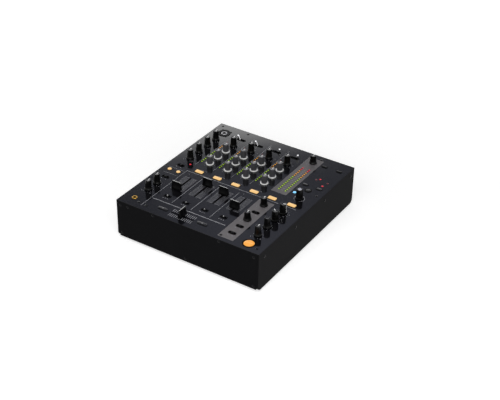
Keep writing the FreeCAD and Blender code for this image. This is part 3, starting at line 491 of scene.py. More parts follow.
def lit_acrylic(name, colour, strength):
    """Frosted acrylic lit from behind: its colour glows through a skin with a faint mottle."""
    unlit = (*[part * 0.2 for part in colour], 1.0)
    return surface(name, colour, 0.08, (0.25, 0.4), patch=(2.5, 2.0), tone="Emission Color",
                   **{"Base Color": unlit, "Emission Strength": strength, SPECULAR: 0.3})


def screen_paint(name, colour):
    """Screen-printed matt paint: metal flakes, drawn 1.2 mm wide so that they show, speckle a flat grey."""
    return surface(name, colour, 0.22, (0.45, 0.6), patch=(1.2, 2.0), **{SPECULAR: 0.1})


def panel_enamel(name, colour):
    """Stoved enamel on the steel panel: a dark gloss in which every control is mirrored."""
    return surface(name, colour, 0.08, (0.08, 0.11), patch=(60, 2.0), grain=(1.2, 2.0), bump=0.002)


def make_materials(colours):
    """Every finish of the mixer, by the name of what it covers."""
    MATERIALS.update(
        panel=panel_enamel("stoved_enamel_on_steel", colours.panel),
        case=powder_coat("powder_coat_on_steel", colours.case),
        knob=moulded_plastic("black_abs", colours.knob, 0.26, specular=0.15),
        ringed_knob=moulded_plastic("grey_abs", colours.ringed_knob, 0.3, specular=0.5),
        ring=moulded_plastic("white_abs", colours.ring, 0.4),
        crown=moulded_plastic("polished_black_abs", linear("#060607"), 0.18, specular=0.5),
        fader=moulded_plastic("gloss_black_abs", linear("#040405"), 0.22, specular=0.15),
        ink=moulded_plastic("grey_screen_ink", colours.ink, 0.55),
        faint_ink=moulded_plastic("dark_screen_ink", colours.faint_ink, 0.5),
        switch=moulded_plastic("black_nylon", linear("#040405"), 0.45, specular=0.1),
        slide=moulded_plastic("dark_grey_nylon", linear("#0E0E10"), 0.4, specular=0.25),
        button=moulded_plastic("smoked_acrylic", linear("#1C1C20"), 0.3, specular=0.2),
        dark_button=moulded_plastic("black_silicone", linear("#141416"), 0.42),
        # Black moulding of frames, bezels and bodies, also used as painted shade in screw recesses and along
        # the fader slots
        recess=moulded_plastic("black_pbt", linear("#030303"), 0.6, specular=0.03),
        rubber=moulded_plastic("foot_rubber", linear("#0D0D0D"), 0.75, 0.8, 0.2),
        board=moulded_plastic("green_solder_mask", linear("#123B22"), 0.4, 1.5),
        red_collar=moulded_plastic("red_abs", linear("#A01818"), 0.4),
        chrome=plated_metal("bright_chrome_plate", linear("#E2E2E4"), 0.12),
        nickel=plated_metal("nickel_plate", linear("#C4C0B8"), 0.22),
        gold=plated_metal("gold_plate", linear("#A8823A"), 0.3),
        screw=plated_metal("black_zinc_plate", linear("#1C1C1E"), 0.36),
        white_lamp=lit_acrylic("white_acrylic", linear("#C8C8CC"), 0.9),
        field=screen_paint("matt_screen_paint", colours.field),
        # Unlit red lamps, given a faint painted glow
        dim_red=lit_acrylic("unlit_red_acrylic", linear("#7A1420"), 0.4),
    )
    for name, strength in LIT_COLOURS.items():
        MATERIALS[name] = lit_acrylic(name + "_acrylic", getattr(colours, name), strength)


# Operators, one for each group of like pieces

class MIXER_OT_case(bpy.types.Operator):
    """Paint the case, the panel, the feet and what stands inside"""

    bl_idname = "mixer.case"
    bl_label = "Case"

    def execute(self, context):
        make_materials(context.scene.mixer_colours)
        for finish, nodes in NODE_FINISHES.items():
            for name in nodes:
                materials = frame["nodes"][name].data.materials
                materials.clear()
                materials.append(MATERIALS[finish])
        self.edging(context.scene.mixer_sizes.edging / MM)
        return {"FINISHED"}

    def edging(self, thick):
        """Coat the cut edges of the panel's sheet like the case."""
        size = (PANEL_HIGH - PANEL_LOW) / MM
        piece = Piece()
        for y in (-thick / 2, size.y + thick / 2):
            piece.add(block(size.x + 2 * thick, thick, size.z), "case", at(spot(size.x / 2, y, -size.z)))
        for x in (-thick / 2, size.x + thick / 2):
            piece.add(block(thick, size.y, size.z), "case", at(spot(x, size.y / 2, -size.z)))
        piece.finish("panel_edging", "case", "panel_paint")


class MIXER_OT_knobs(bpy.types.Operator):
    """Model the turning knobs with fluted grips, skirts or rings, and white pointers"""

    bl_idname = "mixer.knobs"
    bl_label = "Knobs"

    def execute(self, context):
        self.flute = context.scene.mixer_sizes.flute_depth / MM
        for name in KNOBS:
            low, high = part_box(name)
            self.top = (high.z - PANEL_HIGH.z) / MM
            self.skirt = (high.x - low.x) / MM / 2
            form = "ringed" if name in RINGED_KNOBS else "selector" if name in SELECTORS else "plain"
            self.grip, self.crown, self.neck = KNOB_FORMS[form]
            self.place = at(spot(*panel_spot_of(name)), math.radians(TURNED_KNOBS.get(name, 0.0)))
            self.piece = Piece()
            if form == "ringed":
                self.ringed()
            else:
                self.plain()
            if name == BRIGHT_KNOB:
                self.bright_top()
            elif name != BARE_KNOB:
                self.pointer(context.scene.mixer_sizes.pointer_width / MM)
            self.piece.finish(name + "_cap", name, "knob_grey" if form == "ringed" else "knob_black", name)
        return {"FINISHED"}

    def cap(self, foot):
        """A dished crown and a fluted grip above a foot profile."""
        top, crown = self.top, self.crown
        waist = ((crown + self.grip) / 2, top * 0.55)
        shape = turned([(0.0, top - 0.3), (crown - 2.2, top - 0.25), (crown - 1.3, top),
                        (crown - 0.7, top - 0.05), (crown - 0.2, top - 0.4), (crown, top - 1.1), waist,
                        *foot], KNOB_STEPS)
        for vert in shape.verts:
            radius = math.hypot(vert.co.x, vert.co.y)
            if radius > crown - 0.05 and self.neck - 0.1 < vert.co.z < top - 1.0:
                wave = max(0.0, math.cos(FLUTES * math.atan2(vert.co.y, vert.co.x)))
                vert.co.xy *= 1 - self.flute * wave / radius
        return shape

    def plain(self):
        """A black cap whose grip flares to its skirt, with a polished crown."""
        grip, skirt, neck = self.grip, self.skirt, self.neck
        slope = [(grip + (skirt - grip) * share, neck - (neck - SKIRT_TOP) * drop)
                 for share, drop in ((0.12, 0.3), (0.35, 0.58), (0.7, 0.85), (0.92, 0.97))]
        foot = [(grip, neck), *slope, (skirt, 2.4), (skirt, 1.0), (skirt - 0.3, KNOB_GAP),
                (SHAFT_HOLE, KNOB_GAP)]
        self.piece.add(self.cap(foot), "knob", self.place)
        top, crown = self.top, self.crown
        disc = turned([(0.0, top - 0.15), (crown - 2.2, top - 0.1), (crown - 1.3, top + 0.02),
                       (crown - 0.9, top)])
        self.piece.add(disc, "crown", self.place)

    def ringed(self):
        """A grey cap on a white ring."""
        grip, skirt = self.grip, self.skirt
        self.piece.add(self.cap([(grip, self.neck), (grip - 0.1, 2.7)]), "ringed_knob", self.place)
        ring = turned([(grip - 0.4, 2.7), (skirt - 0.7, 2.8), (skirt - 0.2, 2.5), (skirt, 2.0), (skirt, 1.0),
                       (skirt - 0.3, KNOB_GAP), (SHAFT_HOLE, KNOB_GAP)], KNOB_STEPS)
        self.piece.add(ring, "ring", self.place)

    def bright_top(self):
        """A plated disc that lies in the dish of the crown."""
        top, edge = self.top, self.crown - 2.2
        disc = turned([(0.0, top + 0.15), (edge - 0.4, top + 0.1), (edge, top - 0.4)])
        self.piece.add(disc, "chrome", self.place)

    def pointer(self, width):
        """A white line from the middle of the crown over its edge and down the grip."""
        top, grip, crown, neck = self.top, self.grip, self.crown, self.neck
        mark = moved(block(width, crown - 0.6, 0.45), 0, crown / 2 - 0.2, top - 0.4)
        self.piece.add(mark, "ring", self.place)
        side = block(width, 0.3, top - neck - 1.2)
        lean = math.atan2(grip - crown, top - neck)
        bmesh.ops.rotate(side, verts=side.verts, cent=(0, 0, 0), matrix=Matrix.Rotation(lean, 3, "X"))
        self.piece.add(moved(side, 0, grip - 0.1, neck + 0.3), "ring", self.place)


class MIXER_OT_faders(bpy.types.Operator):
    """Model the saddle-shaped fader caps with their index lines"""

    bl_idname = "mixer.faders"
    bl_label = "Fader caps"

    def execute(self, context):
        for name in (*FADERS, "crossfader"):
            x, y = panel_spot_of(name)
            turn = 0.0 if name == "crossfader" else math.pi / 2
            place = at(spot(x, y), turn)
            piece = Piece()
            piece.add(self.cap(), "fader", place)
            piece.add(moved(block(0.8, CAP_LENGTH - 0.6, 0.4), 0, 0, CAP_TOP - 0.35), "ring", place)
            piece.add(block(*STEM), "chrome", at(spot(x, y, -STEM_SINK), turn))
            piece.finish(name + "_cap", name, "knob_black", name)
        return {"FINISHED"}

    def cap(self):
        """A ridge that flares through hollow flanks to a wide foot, along the second axis."""
        base, ridge, foot, waist, hollow = 3.8, 1.5, 0.6, 3.6, 0.5
        steps = 8
        flank = []
        for step in range(steps + 1):
            share = step / steps
            dent = hollow * 4 * share * (1 - share)
            flank.append((base + (ridge - base) * share - dent, waist + (CAP_TOP - waist) * share))
        outline = [(base, foot), *flank]
        outline += [(-across, rise) for across, rise in reversed(outline)]
        shape = bmesh.new()
        shape.faces.new([shape.verts.new((across, 0.0, rise)) for across, rise in outline])
        moved(extruded(shape, 0, CAP_LENGTH, 0), 0, -CAP_LENGTH / 2, 0)
        ends_and_ridges = [item for item in shape.edges
                           if any(abs(face.normal.y) > 0.9 for face in item.link_faces)
                           or min(vert.co.z for vert in item.verts) > CAP_TOP - 1e-4]
        return rounded(shape, ends_and_ridges, 0.45, 2)


class MIXER_OT_levers(bpy.types.Operator):
    """Model the input levers as plated bats in black slots"""

    bl_idname = "mixer.levers"
    bl_label = "Levers"

    def execute(self, context):
        for (name, lean), column in zip(LEVERS.items(), CHANNELS):
            hub = spot(column, LEVER_ROW, -LEVER_SINK)
            place = Matrix.Translation(hub) @ Matrix.Rotation(math.radians(lean), 4, "Y")
            bat = turned([(0.0, 18.0), (1.0, 17.85), (1.7, 17.3), (2.1, 16.3), (2.1, 15.2), (1.45, 9.0),
                          (1.3, 5.0), (1.3, -1.0), (0.0, -1.0)], 32)
            piece = Piece()
            piece.add(bat, "chrome", place)
            piece.finish(name + "_bat", name, "lever_metal", name)
        bezels = Piece()
        places = on_panel([(column, LEVER_ROW) for column in CHANNELS])
        bezels.add(frame_round(flat_pill(20.6, 8.0), 1.8), "recess", *places)
        bezels.finish("lever_bezels", "case", "switch_black")
        return {"FINISHED"}


class MIXER_OT_slides(bpy.types.Operator):
    """Model the slide switches with dotted or ribbed levers and slot bezels"""

    bl_idname = "mixer.slides"
    bl_label = "Slide switches"

    def execute(self, context):
        for name, spots in (("assign_switches", ASSIGNS), ("mode_switches", MODES)):
            piece = Piece()
            piece.add(block(4.2, 3.8, SLIDE_SINK + SLIDE_RISE, 0.5), "slide", *on_panel(spots, -SLIDE_SINK))
            if name == "assign_switches":
                dot = turned([(0.0, 0.3), (0.7, 0.25), (0.9, 0.0)], 24)
                piece.add(dot, "ring", *on_panel(spots, SLIDE_RISE - 0.02))
            else:
                for step in (-1.4, 0.0, 1.4):
                    ribs = on_panel([(x + step, y) for x, y in spots], SLIDE_RISE - 0.25)
                    piece.add(block(0.5, 3.4, 0.5, 0.15), "switch", *ribs)
            piece.finish(name + "_levers", name, "switch_black", name)
        bezels = Piece()
        bezels.add(frame_round(flat_pill(17.0, 8.4), 1.7, 0.7), "recess", *on_panel(MODES))
        bezels.add(frame_round(flat_plate(15.6, 8.6, 1.2), 1.0, 0.3, 0.1), "recess", *on_panel(ASSIGNS))
        bezels.finish("slide_bezels", "case", "switch_black")
        return {"FINISHED"}


class MIXER_OT_buttons(bpy.types.Operator):
    """Model the lit and plain push buttons and the frames round them"""

    bl_idname = "mixer.buttons"
    bl_label = "Buttons"

    def execute(self, context):
        self.lit()
        self.plain()
        self.frames()
        return {"FINISHED"}

    def disc(self, radius, height):
        """A round cap with a slightly domed face."""
        return turned([(0.0, height), (radius * 0.6, height - 0.05), (radius - 0.6, height - 0.2),
                       (radius - 0.15, height - 0.5), (radius, height - 1.0), (radius, 0.0)])

    def lit(self):
        cues = Piece()
        for shape, spots in ((raised(flat_plate(16.8, 8.4, 1.6), BUTTON_HEIGHT, 0.5), CUES),
                             (self.disc(4.0, BUTTON_HEIGHT), ROUND_CUES)):
            cues.add(shape, "amber", *on_panel(spots, -BUTTON_SINK))
        cues.finish("cue_caps", "cue_buttons", "amber_lens", "cue_buttons")
        effect = Piece()
        dome = turned([(0.0, BUTTON_HEIGHT), (6.0, 5.55), (8.3, 5.4), (8.8, 5.0), (9.8, 4.3), (10.0, 4.0),
                       (10.0, 0.0)], 64)
        effect.add(dome, "deep_amber", *on_panel([ON_BUTTON], -BUTTON_SINK))
        effect.add(figures("ON/OFF", 4.2, 0.2), "amber", *on_panel([ON_BUTTON], 1.5))
        effect.finish("effect_cap", "effect_on_button", "amber_lens", "effect_on_button")

    def plain(self):
        piece = Piece()
        for shape, finish, spots in (
                (raised(flat_pill(22.0, 6.4), BUTTON_HEIGHT, 0.5), "button", STARTS),
                (raised(flat_pill(11.0, 5.0), BUTTON_HEIGHT, 0.6), "dark_button", BEATS),
                (raised(flat_pill(11.0, 4.6), BUTTON_HEIGHT, 0.5), "switch", KEYS),
                (self.disc(4.5, BUTTON_HEIGHT), "dark_button", [TAP])):
            piece.add(shape, finish, *on_panel(spots, -BUTTON_SINK))
        piece.add(self.disc(1.2, 1.0), "white_lamp", *on_panel(STARTS, 0.75))
        piece.finish("function_caps", "function_buttons", "button_dark", "function_buttons")

    def frames(self):
        """A low black frame round every button but the two beside the crossfader."""
        piece = Piece()
        for flat, broad, spots in (
                (flat_plate(18.6, 10.2, 2.4), 0.6, CUES),
                (flat_pill(10.2, 10.2), 0.8, ROUND_CUES),
                (flat_pill(26.0, 26.0, 64), 2.7, [ON_BUTTON]),
                (flat_pill(14.4, 14.4, 48), 2.4, [TAP]),
                (flat_pill(13.8, 7.8), 1.1, BEATS),
                (flat_pill(13.4, 7.0), 0.9, KEYS)):
            piece.add(frame_round(flat, broad), "recess", *on_panel(spots))
        piece.finish("button_frames", "case", "button_dark")


class MIXER_OT_lamps(bpy.types.Operator):
    """Fill the lamp windows with lit lenses"""

    bl_idname = "mixer.lamps"
    bl_label = "Lamps"

    def execute(self, context):
        piece = Piece()
        length = LAMP_ROWS[-1] - LAMP_ROWS[0] + 4.4
        middle = (LAMP_ROWS[0] + LAMP_ROWS[-1]) / 2
        for x in LAMP_COLUMNS:
            piece.add(block(3.0, length, 0.08), "recess", at(spot(x, middle)))
            # The channels' peak lamps are unlit: their dim red glow is painted
            reds, peak, size = (2, "red", (2.6, 3.0)) if x > CHANNELS[-1] else (1, "dim_red", (2.2, 2.6))
            colours = ["green"] * LAMP_GREENS + ["orange"] * (LAMP_COUNT - LAMP_GREENS - reds) + [peak] * reds
            for y, colour in zip(LAMP_ROWS, colours):
                piece.add(block(*size, 2.3, 0.2), colour, at(spot(x, y, -2.0)))
        for x, y, colour, radius in SINGLE_LAMPS:
            dome = turned([(0.0, 1.0), (0.45 * radius, 0.85), (0.8 * radius, 0.4), (0.975 * radius, 0.1),
                           (radius, 0.0)], 32)
            piece.add(dome, colour, at(spot(x, y)))
        piece.finish("lamp_lenses", "case", "lamp_lens", "indicator_lights")
        return {"FINISHED"}


class MIXER_OT_panel_print(bpy.types.Operator):
    """Print the lines, ladders, ticks and dial numbers on the panel"""

    bl_idname = "mixer.panel_print"
    bl_label = "Panel print"

    def execute(self, context):
        self.height = context.scene.mixer_sizes.ink_height / MM
        self.piece = Piece()
        self.fields()
        self.rules()
        self.ladders()
        self.crossfader_ticks()
        self.dials()
        self.numbers()
        self.scales()
        self.piece.finish("panel_print", "case", "panel_paint")
        return {"FINISHED"}

    def line(self, x0, y0, x1, y1, width, ink="ink"):
        length = math.hypot(x1 - x0, y1 - y0)
        turn = math.atan2(y1 - y0, x1 - x0)
        self.piece.add(block(length, width, self.height), ink, at(spot((x0 + x1) / 2, (y0 + y1) / 2), turn))

    def dash(self, x, y, length, width):
        self.line(x - length / 2, y, x + length / 2, y, width)

    def figure(self, number, size, x, y):
        self.piece.add(figures(str(number), size, self.height), "ink", at(spot(x, y)))

    def fields(self):
        """Two grey fields behind the master controls, open over the slots of the slide switches."""
        for low, high in FIELDS:
            middle = (Vector(low) + Vector(high)) / 2
            shape = flat_plate(high[0] - low[0], high[1] - low[1], 0.5)
            bmesh.ops.delete(shape, geom=shape.faces[:], context="FACES_ONLY")
            for x, y in MODES:
                if x == MASTER and low[1] < y < high[1]:
                    self.opening(shape, x - middle.x, y - middle.y)
            bmesh.ops.triangle_fill(shape, edges=shape.edges[:], use_beauty=True, normal=(0, 0, 1))
            self.piece.add(raised(shape, self.height * 0.6), "field", at(spot(*middle)))

    def opening(self, shape, x, y):
        """Outline a slot of half-round ends in a flat shape."""
        outline = bmesh.ops.create_circle(shape, radius=2.5, segments=32)["verts"]
        draw_out(outline, 4.5)
        bmesh.ops.translate(shape, verts=outline, vec=(x, y, 0))

    def rules(self):
        """Lines between the groups of controls, and a short one behind each channel's cue button."""
        for rule in RULES:
            self.line(*rule)
        for x in EQUALISER_RULES:
            self.line(x, 189, x, 340, 0.6)
            self.line(x + 21.5, 178, x + 35.5, 178, 0.5)

    def ladders(self):
        """Dim lines along both sides of each fader slot, closed by a line at each end, and a black line of
        painted shade at each edge of the slot.
        """
        front, back = LADDER_ENDS
        for x in CHANNELS:
            for side in (-1, 1):
                # A black line at each edge of the slot: painted shade of the slot's lip
                self.line(x + side * 1.5, front, x + side * 1.5, back, 0.8, "recess")
                for band in range(7):
                    across = x + side * (2.9 + 1.8 * band)
                    self.line(across, front, across, back, 0.8, "faint_ink")
                for y in LADDER_ENDS:
                    self.line(x + side * 2.5, y, x + side * 14.2, y, 0.6)

    def crossfader_ticks(self):
        x, y = panel_spot_of("crossfader")
        count, pitch = 13, 4.1
        for tick in range(count):
            across = x + pitch * (tick - (count - 1) / 2)
            for side in (-1, 1):
                self.line(across, y + side * 3.2, across, y + side * 12.2, 1.1)

    def dials(self):
        """Ticks round every knob, a figure at both ends of a plain dial, and an arc round the bright knob."""
        for name in KNOBS:
            x, y = panel_spot_of(name)
            low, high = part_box(name)
            inner = (high.x - low.x) / MM / 2 + 1.2
            count, sweep = SELECTOR_DIALS.get(name, PLAIN_DIAL)
            for tick in range(count):
                angle = dial_angle(tick, count, sweep)
                outer = inner + (2.2 if tick % 5 == 0 and name not in SELECTOR_DIALS else 1.3)
                self.line(x + inner * math.cos(angle), y + inner * math.sin(angle),
                          x + outer * math.cos(angle), y + outer * math.sin(angle), 0.6)
            if name not in (*SELECTORS, *RINGED_KNOBS, BARE_KNOB):
                for number, side in ((0, -1), (10, 1)):
                    self.figure(number, 3.4, x + side * (inner + 1.0), y - inner)
        arc = turned([(10.0, 0.0), (10.0, self.height), (10.9, self.height)], 48, math.radians(280))
        self.piece.add(arc, "ink", at(spot(*panel_spot_of(BRIGHT_KNOB)), math.radians(-50)))

    def numbers(self):
        """The channels' numbers, and one number for each place of a selector."""
        for number, x in zip(NUMBERS, CHANNELS):
            self.figure(number, 5.0, x + 13, 294)
            self.figure(number, 4.0, x - 12, 152)
        for name, (count, sweep) in SELECTOR_DIALS.items():
            x, y = panel_spot_of(name)
            for place in range(count):
                angle = dial_angle(place, count, sweep)
                self.figure(place + 1, 3.2, x + 13 * math.cos(angle), y + 12 * math.sin(angle))

    def scales(self):
        """A dash between each pair of master lamps, and one for each place of a slide switch."""
        for y in LAMP_ROWS:
            self.dash(MASTER, y, 4.4, 1.0)
        for x, y in ASSIGNS:
            for step in (-5.0, 0.0, 5.0):
                self.dash(x + step, y - 8.0, 2.6, 1.0)
        for x, y in MODES:
            for step in (-5.0, 5.0):
                self.dash(x + step, y - 7.6, 3.2, 0.9)


class MIXER_OT_sockets(bpy.types.Operator):
    """Model the microphone and headphone sockets on the panel"""

    bl_idname = "mixer.sockets"
    bl_label = "Panel sockets"

    def execute(self, context):
        self.microphone()
        self.headphones()
        return {"FINISHED"}

    def microphone(self):
        """A flange with four ears, a collar, a bright ring and a latch."""
        x, y = MICROPHONE
        place = at(spot(x, y))
        piece = Piece()
        flange = turned([(12.6, 0.0), (13.0, 0.3), (13.0, 1.0), (12.6, 1.2), (10.2, 1.2), (10.0, 0.9),
                         (10.0, -1.0)])
        piece.add(flange, "switch", place)
        for corner in range(4):
            angle = math.radians(45 + 90 * corner)
            ear = at(spot(x + 13.2 * math.cos(angle), y + 13.2 * math.sin(angle)), angle)
            piece.add(raised(flat_pill(6.4, 4.4), 0.9, 0.3), "switch", ear)
        collar = turned([(9.9, -1.0), (9.9, 0.8), (9.6, 1.0), (9.0, 1.0), (8.7, 0.7), (8.7, -1.4)])
        piece.add(collar, "switch", place)
        ring = turned([(6.0, -1.5), (6.0, 0.3), (5.8, 0.5), (5.3, 0.5), (5.1, 0.3), (5.1, -2.0)])
        piece.add(ring, "chrome", place)
        piece.add(block(5.0, 3.0, 1.2, 0.3), "switch", at(spot(x, y + 7.6, -0.6)))
        piece.finish("mic_trim", "case", "socket_black")

    def headphones(self):
        """A gold nut round a black bore, on a black washer."""
        place = at(spot(*PHONES))
        piece = Piece()
        nut = turned([(5.5, 0.0), (5.5, 0.9), (5.2, 1.25), (4.6, 1.3), (4.3, 1.1), (4.2, 0.3), (3.35, 0.2),
                      (3.35, -1.0)])
        piece.add(nut, "gold", place)
        piece.add(turned([(4.18, 0.35), (3.3, 0.3), (3.3, -12.0), (0.0, -12.0)], 32), "recess", place)
        piece.add(turned([(5.6, 0.0), (5.6, 0.25), (6.6, 0.25), (6.8, 0.0)]), "switch", place)
        piece.finish("phones_trim", "case", "socket_gold")


class MIXER_OT_rear(bpy.types.Operator):
    """Model the collars, flange trim and switch marks on the rear"""

    bl_idname = "mixer.rear"
    bl_label = "Rear fittings"

    def execute(self, context):
        low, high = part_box("power_switch")
        self.rocker = (low + high) / 2 / MM
        self.jacks()
        self.marks()
        return {"FINISHED"}

    def outward(self, x, rise=0.0, sink=0.0):
        """A place on the rear panel, level with the rocker, that looks out."""
        return facing(x, REAR_FACE - sink, self.rocker.z + rise, "X", -90)

    def jacks(self):
        """Collars round the sleeve jacks, and flanges and inserts in the round sockets."""
        piece = Piece()
        for strip in JACK_STRIPS:
            for column in range(JACK_COLUMNS):
                x = strip + JACK_PITCH * (column - (JACK_COLUMNS - 1) / 2)
                for rise, finish in ((JACK_RISE, "ring"), (-JACK_RISE, "red_collar")):
                    collar = turned([(4.5, 0.0), (4.5, 2.6), (4.8, 2.9), (5.9, 2.9), (6.4, 2.4),
                                     (6.6, 0.0)], 32)
                    piece.add(collar, finish, self.outward(x, rise))
        for x in ROUND_SOCKETS:
            flange = turned([(12.0, 0.0), (12.0, 1.6), (12.4, 2.0), (14.6, 2.0), (15.0, 1.6), (15.0, 0.0)])
            piece.add(flange, "switch", self.outward(x))
            insert = turned([(0.0, 0.6), (9.1, 0.6), (9.3, 0.4), (9.3, 0.0)])
            piece.add(insert, "recess", self.outward(x, sink=SOCKET_FLOOR))
        piece.finish("rear_trim", "case", "jack_metal")

    def marks(self):
        """A line and a ring on the two faces of the rocker."""
        piece = Piece()
        dish, flare, half = 2.4, 1.8, 9.5
        place = facing(self.rocker.x, REAR_FACE, self.rocker.z, "X", ROCKER_TILT)
        lean = math.degrees(math.atan2(flare, half))
        for rise, shape, tip in ((5.2, block(0.7, 3.6, 0.12), lean),
                                 (-5.2, frame_round(flat_pill(2.4, 2.4), 0.7, 0.12, 0.0), -lean)):
            out = dish + flare * abs(rise) / half
            piece.add(shape, "ring", place @ facing(0.0, out, rise, "X", -90 + tip))
        piece.finish("rocker_marks", "power_switch", "switch_black")


class MIXER_OT_screws(bpy.types.Operator):
    """Put the screws in the panel, the front, the sides, the rear and the feet"""

    bl_idname = "mixer.screws"
    bl_label = "Screws"

    def execute(self, context):
        head = context.scene.mixer_sizes.screw_head / MM
        radius = head / 2
        places = self.places()
        piece = Piece()
        dome = turned([(0.0, 0.75), (radius * 0.5, 0.7), (radius * 0.85, 0.45), (radius, 0.1),
                       (radius, 0.0)], 32)
        piece.add(dome, "screw", *places)
        # Two black bars cross each head: painted shade where the cross recess would be, not a hollow
        for angle in (45, 135):
            slot = moved(block(head * 0.55, 0.7, 0.1), 0, 0, 0.68)
            turn = Matrix.Rotation(math.radians(angle), 4, "Z")
            piece.add(slot, "recess", *[place @ turn for place in places])
        piece.finish("case_screws", "case", "component_steel")
        return {"FINISHED"}

    def places(self):
        """Where each screw stands, its head outwards."""
        half, level = CAD_BOX[1][0] / MM, PANEL_HIGH.z / MM
        forward = Matrix.Rotation(math.radians(90), 4, "X")
        places = on_panel(PANEL_SCREWS)
        places += [at(spot(x, 0.0, -drop)) @ forward for x, drop in FRONT_SCREWS]
        for y in SIDE_SCREWS:
            places += [facing(side * half, y, level - SIDE_DROP, "Y", side * 90) for side in (-1, 1)]
        places += [facing(x, REAR_FACE, level - REAR_DROP, "X", -90) for x in REAR_SCREWS]
        places += [facing(x, y, FOOT_RECESS, "X", 180) for x, y in FOOT_SCREWS]
        return places


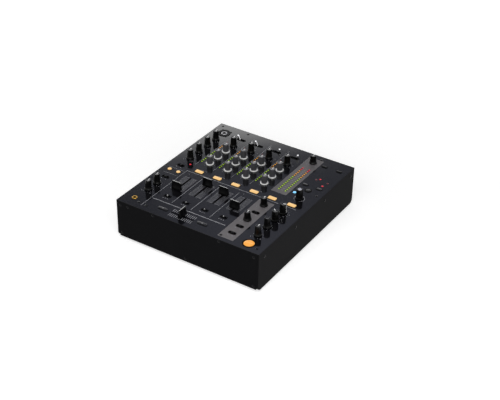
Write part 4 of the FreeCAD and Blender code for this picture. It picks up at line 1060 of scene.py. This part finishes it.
class MIXER_OT_stage(bpy.types.Operator):
    """Set the floor, the light and the camera"""

    bl_idname = "mixer.stage"
    bl_label = "Stage"

    def execute(self, context):
        scene = context.scene
        scene.view_settings.view_transform = "Standard"
        self.floor()
        self.card()
        self.world(scene)
        self.lamp("front_softbox", (0.25, -0.55, 0.7), (0.05, -0.1, 0.09), size=0.6, power=4.2)
        self.lamp("top_softbox", (-0.3, 0.5, 1.7), (0, 0, 0.08), size=1.0, power=2.5)
        self.camera(scene)
        return {"FINISHED"}

    def add(self, name, shape):
        item = linked(name, mesh_of(shape, name))
        return item

    def in_view(self, tree):
        """One for a ray that the camera sees, straight or by a mirror or glass, and nought for the rest."""
        path = add_node(tree, "LightPath", {})
        rays = {0: path["Is Camera Ray"], 1: path["Is Glossy Ray"]}
        direct = add_node(tree, "Math", rays, operation="MAXIMUM")[0]
        return add_node(tree, "Math", {0: direct, 1: path["Is Transmission Ray"]}, operation="MAXIMUM")[0]

    def floor(self):
        """White paper that the camera sees lifted to plain white away from the object."""
        shape = bmesh.new()
        bmesh.ops.create_grid(shape, x_segments=1, y_segments=1, size=30.0)
        item = self.add("floor", shape)
        material, tree, shader, place = new_material("white_paper")
        far = add_node(tree, "VectorMath", {0: place}, operation="LENGTH")["Value"]
        fade = {"Value": far, "From Min": 0.3, "From Max": 1.2, "To Min": 0.7}
        white = add_node(tree, "MapRange", fade)["Result"]
        lift = add_node(tree, "Math", {0: self.in_view(tree), 1: white}, operation="MULTIPLY")[0]
        feed(tree, shader, {"Base Color": (0.6, 0.6, 0.6, 1.0), "Roughness": 0.9, SPECULAR: 0.0,
                            "Emission Color": WHITE, "Emission Strength": lift})
        item.data.materials.append(material)

    def card(self):
        """A grey card behind the object, bright in its lower left, that only reflections see."""
        shape = bmesh.new()
        bmesh.ops.create_grid(shape, x_segments=1, y_segments=1, size=0.5)
        bmesh.ops.scale(shape, verts=shape.verts, vec=(14.0, 8.0, 1.0))
        upright = Matrix.Rotation(math.radians(90), 3, "X")
        bmesh.ops.rotate(shape, verts=shape.verts, cent=(0, 0, 0), matrix=upright)
        item = self.add("studio_card", moved(shape, -1.0, 2.4, 4.05))
        material, tree, shader, place = new_material("graded_card")
        axes = add_node(tree, "SeparateXYZ", {0: place})
        slant = add_node(tree, "Math", {0: axes[0], 1: 0.386, 2: axes[2]}, operation="MULTIPLY_ADD")[0]
        fade = {"Value": slant, "From Min": 0.96, "From Max": 1.14, "To Min": 2.6, "To Max": 0.0}
        glow = add_node(tree, "MapRange", fade, interpolation_type="SMOOTHSTEP")["Result"]
        side = add_node(tree, "MapRange", {"Value": axes[0], "From Min": -2.2, "From Max": -1.5})["Result"]
        above = add_node(tree, "MapRange", {"Value": axes[2], "From Min": 1.6, "From Max": 2.3})["Result"]
        fill = add_node(tree, "Math", {0: side, 1: above}, operation="MULTIPLY")[0]
        base = add_node(tree, "Math", {0: fill, 1: 0.32, 2: 0.28}, operation="MULTIPLY_ADD")[0]
        strength = add_node(tree, "Math", {0: glow, 1: base}, operation="ADD")[0]
        tones = {"Factor": glow, MIX_A: (*linear("#E6EAFF"), 1.0), MIX_B: WHITE}
        tint = add_node(tree, "Mix", tones, data_type="RGBA")[MIX_RESULT]
        feed(tree, shader, {"Base Color": (0.0, 0.0, 0.0, 1.0), SPECULAR: 0.0, "Emission Color": tint,
                            "Emission Strength": strength})
        item.data.materials.append(material)
        item.visible_camera = item.visible_diffuse = item.visible_shadow = False

    def world(self, scene):
        """A white surround that lights the object dimly."""
        scene.world = bpy.data.worlds.new("studio")
        scene.world.use_nodes = True
        tree = scene.world.node_tree
        seen = {"Value": self.in_view(tree), "To Min": 0.2, "To Max": 1.0}
        strength = add_node(tree, "MapRange", seen)["Result"]
        feed(tree, tree.nodes["Background"], {"Color": WHITE, "Strength": strength})

    def lamp(self, name, place, target, size, power):
        data = bpy.data.lights.new(name, "AREA")
        data.shape = "SQUARE"
        data.size = size
        data.energy = power
        item = linked(name, data)
        item.location = place
        item.rotation_euler = (Vector(target) - Vector(place)).to_track_quat("-Z", "Y").to_euler()
        item.visible_camera = False

    def camera(self, scene):
        data = bpy.data.cameras.new("camera")
        data.lens = 79.67
        data.sensor_width = 36.0
        data.clip_end = 100.0
        item = linked("camera", data)
        item.location = (0.9837, -1.5384, 1.2408)
        item.rotation_euler = Euler([math.radians(angle) for angle in (56.7751, -1.0292, 32.6303)])
        scene.camera = item


class MIXER_PT_panel(bpy.types.Panel):
    """List the pieces that can be made and the sizes and colours that they use"""

    bl_idname = "MIXER_PT_panel"
    bl_label = "Mixer"
    bl_space_type = "VIEW_3D"
    bl_region_type = "UI"
    bl_category = "Mixer"

    def draw(self, context):
        for operator in OPERATORS:
            self.layout.operator(operator.bl_idname)
        for group in (context.scene.mixer_sizes, context.scene.mixer_colours):
            for name in group.__annotations__:
                self.layout.prop(group, name)


OPERATORS = (
    MIXER_OT_case, MIXER_OT_knobs, MIXER_OT_faders, MIXER_OT_levers, MIXER_OT_slides, MIXER_OT_buttons,
    MIXER_OT_lamps, MIXER_OT_panel_print, MIXER_OT_sockets, MIXER_OT_rear, MIXER_OT_screws, MIXER_OT_stage,
)
CLASSES = (MixerColours, MixerSizes, *OPERATORS, MIXER_PT_panel)


def register():
    for item in CLASSES:
        bpy.utils.register_class(item)
    bpy.types.Scene.mixer_colours = bpy.props.PointerProperty(type=MixerColours)
    bpy.types.Scene.mixer_sizes = bpy.props.PointerProperty(type=MixerSizes)


def unregister():
    del bpy.types.Scene.mixer_sizes
    del bpy.types.Scene.mixer_colours
    for item in reversed(CLASSES):
        bpy.utils.unregister_class(item)


def main():
    register()
    for operator in OPERATORS:
        getattr(bpy.ops.mixer, operator.bl_idname.removeprefix("mixer."))()


if __name__ == "__main__":
    main()
